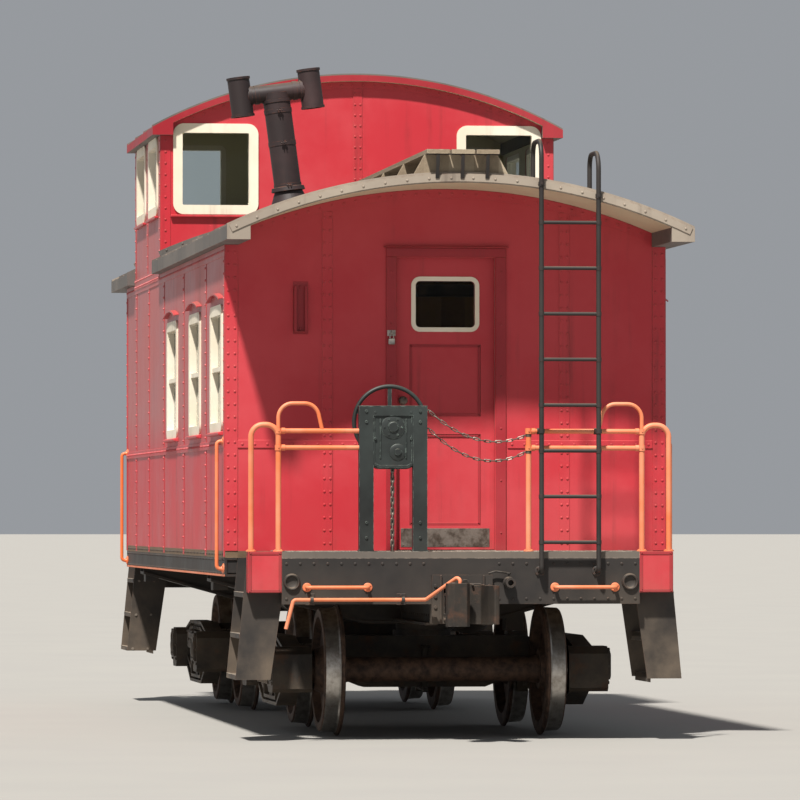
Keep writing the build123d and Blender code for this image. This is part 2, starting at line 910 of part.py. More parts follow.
hose_bore = 19
hose_bore_length = 40
pipe_tip = platform_end + 60
cock_mouth = pipe_tip + 60


def train_pipe():
    """The brake pipe from end to end, with a cock at each end for the hose."""
    place = Pos(0, train_pipe_place[0], train_pipe_place[1]) * Rot(0, 90, 0)
    parts = [Cylinder(train_pipe_diameter / 2, 2 * pipe_tip)]
    for end in (-1, 1):
        parts.append(Pos(0, 0, end * (pipe_tip - 30)) * Sphere(40))
        parts.append(Pos(0, 0, end * (cock_mouth - 35)) * Cylinder(32, 70))
    pipe = joined(parts)
    for end in (-1, 1):
        pipe -= Pos(0, 0, end * (cock_mouth - hose_bore_length / 2)) * Cylinder(hose_bore, hose_bore_length)
    return place * pipe


# Truck, built round the origin and placed later
bowl_rim = 16
bowl_depth = 18
bolster_top = centre_plate_level - 22
bolster_half = 150
frame_line = journal_spacing / 2
window_half = 340
window_top = rail_head + 575
spring_seat = rail_head + 225
bolster_end_bottom = rail_head + 430


def truck_bolster():
    """A fish-bellied beam with the centre plate's bowl and side bearings."""
    end = frame_line + side_frame_thickness / 2 + 40
    belly, shoulder = bolster_end_bottom - 150, bolster_top - 70
    half = [
        (0, belly), (420, belly), (800, bolster_end_bottom), (end, bolster_end_bottom),
        (end, shoulder), (800, shoulder), (700, bolster_top), (0, bolster_top),
    ]
    beam = mirrored(across(half, -bolster_half, bolster_half))
    inner = centre_plate_diameter / 2 + centre_plate_lip_clearance
    bowl_height = centre_plate_level + bowl_depth - bolster_top
    bowl = Pos(0, 0, bolster_top + bowl_height / 2) * Cylinder(inner + bowl_rim, bowl_height)
    bowl -= Pos(0, 0, centre_plate_level + bowl_depth) * Cylinder(inner, 2 * bowl_depth)
    bearing_y = (side_bearing_place - 45, side_bearing_place + 45)
    bearing = span((-70, 70), bearing_y, (bolster_top, side_bearing_level))
    return beam + bowl + mirrored(bearing)


def side_frame():
    """A cast side frame with its two journal boxes and the opening for bolster and springs."""
    half_base = wheelbase / 2
    y = (frame_line - side_frame_thickness / 2, frame_line + side_frame_thickness / 2)
    top = window_top + 65
    bottom = spring_seat - 60
    outline = [
        (-half_base, axle_height + 150), (-430, top), (430, top), (half_base, axle_height + 150),
        (half_base, axle_height - 100), (430, bottom), (-430, bottom), (-half_base, axle_height - 100),
    ]
    pillar = window_half + 75
    low, high = spring_seat, window_top
    holes = [[(-window_half, low), (window_half, low), (window_half, high), (-window_half, high)]]
    for hand in (-1, 1):
        holes.append([
            (hand * pillar, window_top - 5), (hand * (half_base - 175), axle_height + 95),
            (hand * (half_base - 175), axle_height - 60), (hand * pillar, spring_seat + 60),
        ])
    casting = along(outline, *y)
    sunk = offset(make_face(Polyline(*outline, close=True)), -frame_rib)
    for hole in holes:
        casting -= along(hole, *y)
        sunk -= offset(make_face(Polyline(*hole, close=True)), frame_rib, kind=Kind.INTERSECTION)
    for outer, inward in ((y[1], (0, -1, 0)), (y[0], (0, 1, 0))):
        casting -= Pos(0, outer, 0) * extrude(Plane.XZ * sunk, amount=frame_pocket, dir=inward)
    for hand in (-1, 1):
        x = hand * half_base
        box_y = (back_to_back / 2 + rim_width + 56, frame_line + journal_length / 2 + 22)
        face = [
            (x - 145, axle_height - 125), (x - 120, axle_height - 150), (x + 120, axle_height - 150),
            (x + 145, axle_height - 125), (x + 145, axle_height + 105), (x + 95, axle_height + 155),
            (x - 95, axle_height + 155), (x - 145, axle_height + 105),
        ]
        casting += along(face, *box_y)
        lid_z = (axle_height - 70, axle_height + 120)
        casting += span((x - 115, x + 115), (box_y[1], box_y[1] + 18), lid_z)
        bore = Rot(90, 0, 0) * Cylinder(journal_diameter / 2 + bearing_clearance, 2 * (box_y[1] - 10))
        casting -= Pos(x, 0, axle_height) * bore
    return casting


leaf_thickness = 13
leaf_count = 5
leaf_reach = 300
leaf_step = 55
leaf_width = 110
leaf_band = 70


def leaf_springs():
    """One elliptic leaf spring per side frame, between its seat and the bolster's end."""
    middle = (spring_seat + bolster_end_bottom) / 2
    camber = (bolster_end_bottom - spring_seat) / 2 - leaf_count * leaf_thickness
    circle = arch(0, camber, leaf_reach)
    bow = Sketch()
    for number in range(leaf_count):
        reach = leaf_reach - number * leaf_step
        arcs = []
        for inset in (-number * leaf_thickness, -(number + 1) * leaf_thickness):
            end, crest = arch_height(circle, reach, inset), arch_height(circle, 0, inset)
            arcs.append(ThreePointArc((-reach, end), (0, crest), (reach, end)))
        ends = [Line(arcs[0] @ place, arcs[1] @ place) for place in (0, 1)]
        bow += make_face(arcs + ends)
    stack = leaf_count * leaf_thickness
    bow += Pos(0, camber + stack / 2) * Rectangle(leaf_band, stack)
    profile = bow + mirror(bow, about=Plane.XZ)
    for hand in (-1, 1):
        profile += Pos(hand * (leaf_reach - 3), 0) * Rectangle(20, 2 * leaf_thickness + 2)
    spring = extrude(Plane.XZ * profile, amount=leaf_width / 2, both=True)
    return mirrored(Pos(0, frame_line, middle) * spring)


def wheelset():
    """Two wheels pressed on an axle, revolved about Y."""
    back = back_to_back / 2
    front = back + rim_width
    tread = wheel_diameter / 2
    rim = tread - 64
    hub = 140
    wheel_points = [
        (back, rim), (back, tread + 8), (back + 9, tread + rail_head), (back + 21, tread + rail_head),
        (back + 31, tread + 8), (back + 42, tread), (front - 9, tread - 5), (front, tread - 13),
        (front, rim), (back + 92, rim - 22), (back + 104, hub + 28), (back + 172, hub - 5),
        (back + 172, 90), (back + 4, 90), (back + 4, hub - 5), (back + 70, hub + 28), (back + 62, rim - 22),
    ]
    axle_points = [
        (0, 0), (0, 82), (back - 60, 84), (back - 10, 96), (back + 178, 96), (back + 178, 78),
        (frame_line - journal_length / 2, 78), (frame_line - journal_length / 2, journal_diameter / 2),
        (frame_line + journal_length / 2, journal_diameter / 2), (frame_line + journal_length / 2, 0),
    ]
    section = make_face(Polyline(*axle_points, close=True)) + make_face(Polyline(*wheel_points, close=True))
    half = revolve(Plane.YZ * section, axis=Axis.Y)
    return Pos(0, 0, axle_height) * mirrored(half)


shoe_gap = 10
shoe_thickness = 45
shoe_width = 80
beam_height = axle_height - 60


def brake_beam():
    """The brake beam, shoes and hangers for the axle at +X of a truck."""
    tread = wheel_diameter / 2
    axle_x = wheelbase / 2
    beam_x = axle_x - tread - 95
    middle = back_to_back / 2 + 88
    inner_face = frame_line - side_frame_thickness / 2
    about_axle = Pos(axle_x, 0, axle_height) * Rot(90, 0, 0)
    clear = about_axle * Cylinder(tread + shoe_gap, 2 * inner_face)
    ring = about_axle * Cylinder(tread + shoe_gap + shoe_thickness, 2 * inner_face) - clear
    y = (middle - shoe_width / 2, middle + shoe_width / 2)
    half = ring & span((beam_x - 40, axle_x - 330), y, (beam_height - 130, beam_height + 130))
    half += span((beam_x - 20, beam_x + 60), y, (beam_height - 45, beam_height + 45)) - clear
    post_top = window_top + 40
    half += span((beam_x - 15, beam_x + 15), (middle - 20, middle + 20), (beam_height, post_top))
    half += span((beam_x - 15, beam_x + 15), (middle - 20, inner_face), (post_top - 30, post_top))
    bar = Pos(beam_x, 0, beam_height) * Rot(90, 0, 0) * Cylinder(30, 2 * middle)
    return mirrored(half) + bar


# Whole nodes, by name
pieces = {
    "centre_sill": centre_sill(),
    "side_sills": mirrored(side_sill()),
    "floor_beams": floor_beams(),
    "body_bolsters": body_bolsters(),
    "floor": floor(),
    "side_wall_left": side_wall("left", -1),
    "side_wall_right": side_wall("right", 1),
    "cupola_side_left": cupola_side("left", -1),
    "cupola_side_right": cupola_side("right", 1),
    "cupola_end_near": cupola_end("near", cupola_near_face, -1),
    "cupola_end_far": cupola_end("far", cupola_far_face, 1),
    "main_roof": main_roof(),
    "cupola_roof": cupola_roof(),
    "window_frames": joined(
        [window_frame(plane, size, 2) for _, plane, size in side_windows]
        + [window_frame(plane, size) for _, plane, size in cupola_windows]
    ),
    "window_panes": joined([window_pane(plane, size) for _, plane, size in side_windows + cupola_windows]),
    "step_panels": mirrored(step_panel()) + turned(mirrored(step_panel())),
    "end_grabs": end_grabs() + turned(end_grabs()),
    "side_grabs": mirrored(side_grab()) + turned(mirrored(side_grab())),
    "running_boards": running_boards(),
    "smoke_jack": smoke_jack(),
    "stove": stove(),
    "benches": benches(),
    "lockers": lockers(),
    "cupola_seats": cupola_seats(),
    "brake_gear": brake_gear(),
    "train_pipe": train_pipe(),
}

# Nodes that each end has, drawn at the near end
end_pieces = {
    "end_wall": end_wall(),
    "platform": platform(),
    "steps": mirrored(steps()),
    "railing": railing(),
    "ladder": ladder(),
    "hand_brake": hand_brake(),
    "coupler": coupler(),
    "uncoupling_lever": uncoupling_lever(),
    "door": door_leaf(),
    "door_pane": door_pane(),
}
for name, piece in end_pieces.items():
    pieces[f"{name}_near"] = piece
    pieces[f"{name}_far"] = turned(piece)
for end, piece in (("near", end_sill()), ("far", turned(end_sill()))):
    pieces[f"end_sill_{end}"] = without_pipe(piece)

truck_pieces = {
    "truck_bolster": truck_bolster(),
    "side_frames": mirrored(side_frame()),
    "leaf_springs": leaf_springs(),
    "brake_beams": brake_beam() + turned(brake_beam()),
}
for name, piece in truck_pieces.items():
    pieces[f"{name}_near"] = Pos(truck_centres / 2, 0, 0) * piece
    pieces[f"{name}_far"] = Pos(-truck_centres / 2, 0, 0) * turned(piece)

axle_places = [
    truck + hand * wheelbase / 2 for truck in (truck_centres / 2, -truck_centres / 2) for hand in (1, -1)
]
for number, x in enumerate(axle_places, start=1):
    pieces[f"wheelset_{number}"] = Pos(x, 0, 0) * wheelset()

for name, piece in pieces.items():
    export_step(piece, f"parts/{name}.step")
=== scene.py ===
import json
import math

import bpy
from mathutils import Matrix, Vector


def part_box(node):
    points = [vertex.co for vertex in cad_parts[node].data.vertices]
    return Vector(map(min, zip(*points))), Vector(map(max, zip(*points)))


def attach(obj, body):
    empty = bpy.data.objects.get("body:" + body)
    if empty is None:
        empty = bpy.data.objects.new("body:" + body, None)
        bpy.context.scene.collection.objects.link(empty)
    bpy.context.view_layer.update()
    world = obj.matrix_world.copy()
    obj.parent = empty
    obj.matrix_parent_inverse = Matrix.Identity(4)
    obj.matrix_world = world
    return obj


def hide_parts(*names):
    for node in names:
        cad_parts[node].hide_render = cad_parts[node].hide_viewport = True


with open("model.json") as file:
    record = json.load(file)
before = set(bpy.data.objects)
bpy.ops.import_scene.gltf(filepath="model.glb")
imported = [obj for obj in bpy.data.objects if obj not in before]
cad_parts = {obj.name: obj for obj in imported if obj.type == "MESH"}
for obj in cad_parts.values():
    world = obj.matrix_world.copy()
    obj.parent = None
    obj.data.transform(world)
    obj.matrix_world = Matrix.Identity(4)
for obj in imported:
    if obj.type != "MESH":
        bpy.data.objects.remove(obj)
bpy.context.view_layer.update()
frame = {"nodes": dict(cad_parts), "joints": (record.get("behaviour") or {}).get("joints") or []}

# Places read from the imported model, in metres
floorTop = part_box("floor")[1].z
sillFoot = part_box("side_sills")[0].z
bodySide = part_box("side_wall_right")[1].y
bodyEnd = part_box("floor")[1].x
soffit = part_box("side_wall_right")[1].z
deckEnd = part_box("platform_near")[1].x
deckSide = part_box("platform_near")[1].y
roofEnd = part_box("main_roof")[1].x
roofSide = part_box("main_roof")[1].y
cupolaFar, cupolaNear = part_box("cupola_end_far")[0].x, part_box("cupola_end_near")[1].x
cupolaMiddle = (cupolaFar + cupolaNear) / 2
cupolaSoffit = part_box("cupola_side_left")[1].z
sheet = {"ribHeight": 0.012, "ribMargin": 0.04, "ribSpacing": 0.8, "roof": 0.06, "roofRise": 0.35,
         "cupolaRoof": 0.045, "cupolaRise": 0.40}
jointAt = {j["name"]: Vector(j["pos_m"]) for j in frame["joints"]}
xAxis, yAxis, zAxis = (1, 0, 0), (0, 1, 0), (0, 0, 1)


def arcOf(node, rise):
    # height of the centre and radius of an arched roof, under its ribs
    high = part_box(node)[1]
    radius = (high.y**2 + rise**2) / (2 * rise)
    return high.z - sheet["ribHeight"] - radius, radius


mainArc = arcOf("main_roof", sheet["roofRise"])
cupolaArc = arcOf("cupola_roof", sheet["cupolaRise"])


def heightOnArc(arc, y, lift=0.0):
    return arc[0] + math.sqrt((arc[1] + lift) ** 2 - y**2)


# Modelling helpers

def selectNothing():
    bpy.ops.object.select_all(action="DESELECT")


def makeActive(piece):
    selectNothing()
    piece.select_set(True)
    bpy.context.view_layer.objects.active = piece


def settle(piece):
    makeActive(piece)
    bpy.ops.object.transform_apply(location=True, rotation=True, scale=True)
    return piece


def modified(piece, kind, **values):
    makeActive(piece)
    modifier = piece.modifiers.new(kind.lower(), kind)
    for key, value in values.items():
        setattr(modifier, key, value)
    bpy.ops.object.modifier_apply(modifier=modifier.name)
    return piece


def eased(piece, width, segments=2):
    return modified(piece, "BEVEL", width=width, segments=segments, limit_method="ANGLE")


def selectWhole():
    bpy.ops.mesh.select_all(action="SELECT")


def editAll(piece):
    makeActive(piece)
    bpy.ops.object.mode_set(mode="EDIT")
    selectWhole()


def leaveEdit():
    bpy.ops.object.mode_set(mode="OBJECT")


mergeWithin = 0.00002


def closeUp(merge=True):
    # ends an edit, with doubles merged and faces pointing outwards
    selectWhole()
    if merge:
        bpy.ops.mesh.remove_doubles(threshold=mergeWithin)
    bpy.ops.mesh.normals_make_consistent(inside=False)
    leaveEdit()


def chooseFaces(piece, belongs):
    # picks faces by their middle and direction, and stays in edit mode
    editAll(piece)
    bpy.ops.mesh.select_mode(type="FACE")
    bpy.ops.mesh.select_all(action="DESELECT")
    leaveEdit()
    for face in piece.data.polygons:
        face.select = belongs(face.center, face.normal)
    bpy.ops.object.mode_set(mode="EDIT")


def drawn(points, form="line"):
    # one vertex extruded from point to point: a line, a ring of edges or a face
    selectNothing()
    points = [Vector(p) for p in points]
    bpy.ops.mesh.primitive_plane_add(size=0.001, location=points[0])
    piece = settle(bpy.context.object)
    bpy.ops.object.mode_set(mode="EDIT")
    bpy.ops.mesh.select_mode(type="VERT")
    selectWhole()
    bpy.ops.mesh.merge(type="CENTER")
    for here, there in zip(points, points[1:]):
        bpy.ops.mesh.extrude_region_move(TRANSFORM_OT_translate={"value": there - here})
    if form != "line":
        selectWhole()
        bpy.ops.mesh.edge_face_add()
    if form == "ring":
        bpy.ops.mesh.delete(type="ONLY_FACE")
    leaveEdit()
    return piece


# Widths of eased edges
thinEdge, sheetEdge, barEdge, boardEdge, castEdge, softEdge = 0.001, 0.0015, 0.002, 0.003, 0.004, 0.006


def block(low, high, edge=boardEdge, segments=1):
    # a strip or bar between two corners, with eased edges
    selectNothing()
    middle = [(a + b) / 2 for a, b in zip(low, high)]
    bpy.ops.mesh.primitive_cube_add(size=1, location=middle)
    piece = bpy.context.object
    piece.scale = [abs(b - a) for a, b in zip(low, high)]
    settle(piece)
    return eased(piece, edge, segments) if edge else piece


def chunk(middle, size, edge=boardEdge):
    # the same, by its middle and size
    low, high = [[m + side * v / 2 for m, v in zip(middle, size)] for side in (-1, 1)]
    return block(low, high, edge)


def pressed(piece, direction, border, depth):
    # a panel pressed into each face that looks one way, or raised with a negative depth
    direction = Vector(direction)
    chooseFaces(piece, lambda centre, normal: normal.dot(direction) > 0.99)
    bpy.ops.mesh.inset(thickness=border)
    bpy.ops.transform.translate(value=-depth * direction)
    bpy.ops.mesh.select_mode(type="VERT")
    leaveEdit()
    return piece


def facing(direction):
    return Vector(direction).to_track_quat("Z", "Y").to_matrix().to_4x4()


def barrel(start, end, radius, sides=20, edge=barEdge):
    selectNothing()
    start, end = Vector(start), Vector(end)
    turn = (end - start).to_track_quat("Z", "Y").to_euler()
    bpy.ops.mesh.primitive_cylinder_add(
        vertices=sides, radius=radius, depth=(end - start).length, location=(start + end) / 2, rotation=turn)
    piece = settle(bpy.context.object)
    return eased(piece, edge, 1) if edge else piece


def lathe(profile, place, axis=zAxis, steps=24):
    # a turned shape: each point is a radius and a distance along the axis
    piece = drawn([(r, 0, a) for r, a in profile])
    editAll(piece)
    bpy.ops.mesh.spin(steps=steps, angle=2 * math.pi, center=(0, 0, 0), axis=zAxis)
    closeUp()
    piece.data.transform(Matrix.Translation(place) @ facing(axis))
    return piece


def band(place, axis, inner, outer, width, steps=28):
    # a flat hoop round a pipe or tank
    half = width / 2
    profile = [(inner, -half), (outer, -half), (outer, half), (inner, half), (inner, -half)]
    return lathe(profile, place, axis, steps)


def roundBar(piece, radius, sides, capped=False):
    # turns a line or a ring of edges into a round bar
    makeActive(piece)
    bpy.ops.object.convert(target="CURVE")
    curve = bpy.context.object.data
    curve.bevel_depth, curve.bevel_resolution, curve.use_fill_caps = radius, sides, capped
    bpy.ops.object.convert(target="MESH")
    return bpy.context.object


def bentBar(points, radius, bend=0.0):
    # a round bar through points, its corners bent
    piece = drawn(points)
    if bend:
        modified(piece, "BEVEL", affect="VERTICES", width=bend, segments=5)
    return roundBar(piece, radius, 3, True)


def plate(outline, thickness, place=None, edge=0.0):
    # a flat outline in its own x and y, thickened along z, then put in place
    piece = drawn([(x, y, 0) for x, y in outline], "face")
    editAll(piece)
    bpy.ops.mesh.extrude_region_move(TRANSFORM_OT_translate={"value": (0, 0, thickness)})
    closeUp(merge=False)
    if edge:
        eased(piece, edge, 1)
    if place is not None:
        piece.data.transform(place)
    return piece


def rim(size, border, proud, place, corner=0.05):
    # a raised frame round an opening, in its own x and y
    x, y = size[0] / 2, size[1] / 2
    piece = drawn([(-x, -y, 0), (x, -y, 0), (x, y, 0), (-x, y, 0)], "face")
    editAll(piece)
    bpy.ops.mesh.bevel(offset=corner, segments=4, affect="VERTICES")
    bpy.ops.mesh.select_mode(type="FACE")
    selectWhole()
    bpy.ops.mesh.inset(thickness=border)
    bpy.ops.mesh.delete(type="FACE")
    selectWhole()
    bpy.ops.mesh.extrude_region_move(TRANSFORM_OT_translate={"value": (0, 0, proud)})
    closeUp(merge=False)
    eased(piece, min(proud, border) * 0.3, 1)
    piece.data.transform(place)
    return piece


def wallPlace(side, along, height, face):
    # puts a flat shape on a wall: its x runs along the wall, its y up and its z outwards
    axes = {
        "left": (xAxis, zAxis, (0, -1, 0), (along, -face, height)),
        "right": ((-1, 0, 0), zAxis, yAxis, (along, face, height)),
        "near": (yAxis, zAxis, xAxis, (face, along, height)),
        "far": ((0, -1, 0), zAxis, (-1, 0, 0), (-face, along, height)),
    }[side]
    return Matrix([[*row, 1 if n == 3 else 0] for n, row in enumerate(axes)]).transposed()


def copyOf(piece, matrix):
    twin = piece.copy()
    twin.data = piece.data.copy()
    bpy.context.scene.collection.objects.link(twin)
    twin.data.transform(matrix)
    if matrix.determinant() < 0:
        twin.data.flip_normals()
    return twin


def ringBar(points, radius, bend, segments):
    # a closed ring of round bar, its corners bent
    ring = drawn(points, "ring")
    editAll(ring)
    bpy.ops.mesh.bevel(offset=bend, segments=segments, affect="VERTICES")
    leaveEdit()
    return roundBar(ring, radius, 1)


def movedCopy(piece, *move):
    return copyOf(piece, Matrix.Translation(move))


def arrayed(piece, step, count):
    return modified(piece, "ARRAY", use_relative_offset=False, use_constant_offset=True,
                    constant_offset_displace=step, count=count)


halfTurn = Matrix.Rotation(math.pi, 4, "Z")
acrossMirror = Matrix.Scale(-1, 4, yAxis)
lengthMirror = Matrix.Scale(-1, 4, xAxis)
cupolaMirror = Matrix.Translation((2 * cupolaMiddle, 0, 0)) @ lengthMirror


def withTwins(pieces, matrix):
    return pieces + [copyOf(p, matrix) for p in pieces]


def bothSides(pieces):
    return withTwins(pieces, acrossMirror)


def gathered(pieces):
    makeActive(pieces[0])
    for piece in pieces:
        piece.select_set(True)
    if len(pieces) > 1:
        bpy.ops.object.join()
    return bpy.context.object


def bentOver(section, centre, axis, half, mirror, steps=16):
    # a section drawn at the crown, spun down one side and mirrored down the other
    piece = drawn(section, "ring")
    editAll(piece)
    bpy.ops.mesh.spin(steps=steps, angle=half, center=centre, axis=axis)
    leaveEdit()
    piece = gathered([piece, copyOf(piece, mirror)])
    editAll(piece)
    bpy.ops.mesh.remove_doubles(threshold=mergeWithin)
    selectWhole()
    bpy.ops.mesh.fill_holes(sides=0)
    closeUp()
    return piece


def archStrip(arc, x, width, proud, halfWidth, lift=0.0):
    # a flat strap that follows an arched roof
    foot = arc[0] + arc[1] + lift
    low, high, head = x - width / 2, x + width / 2, foot + proud
    section = [(low, 0, foot), (high, 0, foot), (high, 0, head), (low, 0, head)]
    return bentOver(section, (0, 0, arc[0]), xAxis, math.asin(halfWidth / arc[1]), acrossMirror)


looks = {}
slots = {}


def finished(name, pieces, look, body="carbody", smooth=32):
    # one named piece from its parts, with its finish, riding on a body
    piece = gathered(pieces)
    piece.name = piece.data.name = name
    settle(piece)
    piece.data.materials.clear()
    piece.data.materials.append(looks[look])
    bpy.ops.object.shade_smooth_by_angle(angle=math.radians(smooth))
    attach(piece, body)
    return piece


def onBothSides(name, pieces, look):
    # a piece drawn on the left side, and its mirror image on the right
    left = gathered(pieces)
    right = copyOf(left, acrossMirror)
    finished(name + "Left", [left], look)
    finished(name + "Right", [right], look)


def atBothEnds(name, pieces, look, bodies=("carbody", "carbody")):
    # a piece drawn at the near end, and its twin half a turn away
    near = gathered(pieces)
    far = copyOf(near, halfTurn)
    finished(name + "Near", [near], look, bodies[0])
    finished(name + "Far", [far], look, bodies[1])


def underTrucks(name, pieces, look):
    # a piece drawn for a truck at the origin, put under both ends
    model = gathered(pieces)
    model.data.transform(Matrix.Translation((jointAt["near_truck_swivel"].x, 0, 0)))
    atBothEnds(name, [model], look, ("near_truck", "far_truck"))


rivet = {"radius": 0.0095, "height": 0.0055, "spacing": 0.085}
bolt = {"radius": 0.015, "height": 0.011}


def rivetHead(place, outward, size=1.0):
    r, h = rivet["radius"] * size, rivet["height"] * size
    return lathe([(r, -0.001), (r * 0.86, h * 0.6), (r * 0.42, h * 0.95), (0, h)], place, outward, 7)


def rivetRow(start, end, outward, spacing=None, size=1.0):
    start, end = Vector(start), Vector(end)
    count = max(2, round((end - start).length / (spacing or rivet["spacing"])) + 1)
    return arrayed(rivetHead(start, outward, size), (end - start) / (count - 1), count)


def rivetArc(arc, x, halfWidth, outward, lift=0.0, spacing=0.11):
    # rivets along an arch, facing up from it or out along the car
    half = math.asin(halfWidth / arc[1])
    count = round(2 * half * arc[1] / spacing) + 1
    crown = rivetHead((x, 0, arc[0] + arc[1] + lift), outward)
    centre = Matrix.Translation((0, 0, arc[0]))
    heads = []
    for number in range(count):
        turn = Matrix.Rotation(half * (2 * number / (count - 1) - 1), 4, "X")
        heads += [copyOf(crown, centre @ turn @ centre.inverted())]
    bpy.data.objects.remove(crown)
    return gathered(heads)


def circlePlaces(count, radius, start=0.0):
    # places on a circle, as pairs
    turns = [start + 2 * math.pi * number / count for number in range(count)]
    return [(radius * math.cos(turn), radius * math.sin(turn)) for turn in turns]


def boltHead(place, outward, size=1.0):
    radius, place, outward = bolt["radius"] * size, Vector(place), Vector(outward)
    head = barrel(place - outward * 0.001, place + outward * bolt["height"] * size, radius, 6, 0)
    return eased(head, radius * 0.12, 1)


def boltsAt(places, outward, size=1.0):
    first = Vector(places[0])
    head = boltHead(first, outward, size)
    return [head] + [movedCopy(head, *(Vector(p) - first)) for p in places[1:]]


def footFlange(place, axis, radius, boltRing, count=4):
    # a turned foot with its ring of bolts
    place, axis = Vector(place), Vector(axis)
    profile = [(0, 0), (radius, 0), (radius, 0.006), (radius - 0.003, 0.008), (radius * 0.5, 0.009),
               (radius * 0.44, 0.02), (0, 0.02)]
    turned = facing(axis).to_3x3()
    spots = [place + turned @ Vector((x, y, 0.008)) for x, y in circlePlaces(count, boltRing, math.pi / 4)]
    return [lathe(profile, place, axis, 20)] + boltsAt(spots, axis, 0.5)


# Materials

def tone(code):
    # a colour from its usual six-figure code, in linear light
    parts = [int(code[n:n + 2], 16) / 255 for n in (0, 2, 4)]
    return [p / 12.92 if p <= 0.04045 else ((p + 0.055) / 1.055) ** 2.4 for p in parts] + [1.0]


def addNode(tree, kind, inputs=None, **settings):
    made = tree.nodes.new("ShaderNode" + kind)
    for key, value in settings.items():
        setattr(made, key, value)
    for key, value in (inputs or {}).items():
        if isinstance(value, bpy.types.NodeSocket):
            tree.links.new(value, made.inputs[key])
        else:
            made.inputs[key].default_value = value
    return made


def mathOf(tree, operation, first, second=0.0, clamp=False):
    return addNode(tree, "Math", {0: first, 1: second}, operation=operation, use_clamp=clamp).outputs[0]


def plus(tree, first, second, clamp=False):
    return mathOf(tree, "ADD", first, second, clamp)


def times(tree, first, second, clamp=False):
    return mathOf(tree, "MULTIPLY", first, second, clamp)


def portion(tree, value, amount):
    return times(tree, value, amount, True)


def spread(tree, value, low, high, toLow=0.0, toHigh=1.0):
    # brings a value from one range to another, with soft ends
    inputs = {"Value": value, "From Min": low, "From Max": high, "To Min": toLow, "To Max": toHigh}
    return addNode(tree, "MapRange", inputs, interpolation_type="SMOOTHSTEP").outputs[0]


def mixed(tree, share, first, second):
    return addNode(tree, "Mix", {0: share, 6: first, 7: second}, data_type="RGBA").outputs[2]


def noiseOf(tree, scale, detail=4.0, vector=None, rough=0.5):
    inputs = {"Scale": scale, "Detail": detail, "Roughness": rough}
    if vector is not None:
        inputs["Vector"] = vector
    return addNode(tree, "TexNoise", inputs).outputs["Fac"]


def objectPlace(tree):
    return addNode(tree, "TexCoord").outputs["Object"]


def stretched(tree, vector, scale):
    return addNode(tree, "Mapping", {"Vector": vector, "Scale": scale}).outputs[0]


def newGroup(name, inputs, outputs):
    tree = bpy.data.node_groups.new(name, "ShaderNodeTree")
    for label, value in inputs.items():
        socket = tree.interface.new_socket(name=label, in_out="INPUT", socket_type="NodeSocketFloat")
        socket.default_value = value
    for label in outputs:
        tree.interface.new_socket(name=label, in_out="OUTPUT", socket_type="NodeSocketFloat")
    return tree, tree.nodes.new("NodeGroupInput"), tree.nodes.new("NodeGroupOutput")


# How far the edges chip, and how dust, rain and sun spread over the car
aging = {
    "edgeSamples": 3, "edgeTurn": (0.015, 0.16), "chipSpread": (0.42, 0.6), "cloud": 2.6,
    "dustCloud": (0.25, 0.75), "rain": (9.0, 9.0, 0.42), "rainSpread": (0.52, 0.74),
    "rainCloud": (0.35, 0.65), "patch": 0.9, "patchSpread": (0.36, 0.68), "sunEdge": (-0.12, 0.25),
    "sunPower": 3.0, "upward": (0.55, 0.95), "settledCloud": (0.2, 0.7), "fine": 55.0,
}


def makeEdgeWear():
    # chipped edges: where the surface turns within a width, broken up by grain
    s = aging
    tree, start, end = newGroup("edgeWear", {"Width": 0.006, "Grain": 26.0, "Amount": 0.5}, ["Mask"])
    rounded = addNode(tree, "Bevel", {"Radius": start.outputs["Width"]}, samples=s["edgeSamples"])
    flat = addNode(tree, "NewGeometry").outputs["Normal"]
    dot = addNode(tree, "VectorMath", {0: rounded.outputs[0], 1: flat}, operation="DOT_PRODUCT")
    turn = mathOf(tree, "SUBTRACT", 1.0, dot.outputs["Value"], True)
    grain = {"Scale": start.outputs["Grain"], "Detail": 5.0, "Vector": objectPlace(tree)}
    chips = addNode(tree, "TexNoise", grain).outputs["Fac"]
    edge = spread(tree, turn, *s["edgeTurn"])
    broken = times(tree, edge, spread(tree, chips, *s["chipSpread"]))
    tree.links.new(times(tree, broken, start.outputs["Amount"], True), end.inputs["Mask"])
    return tree


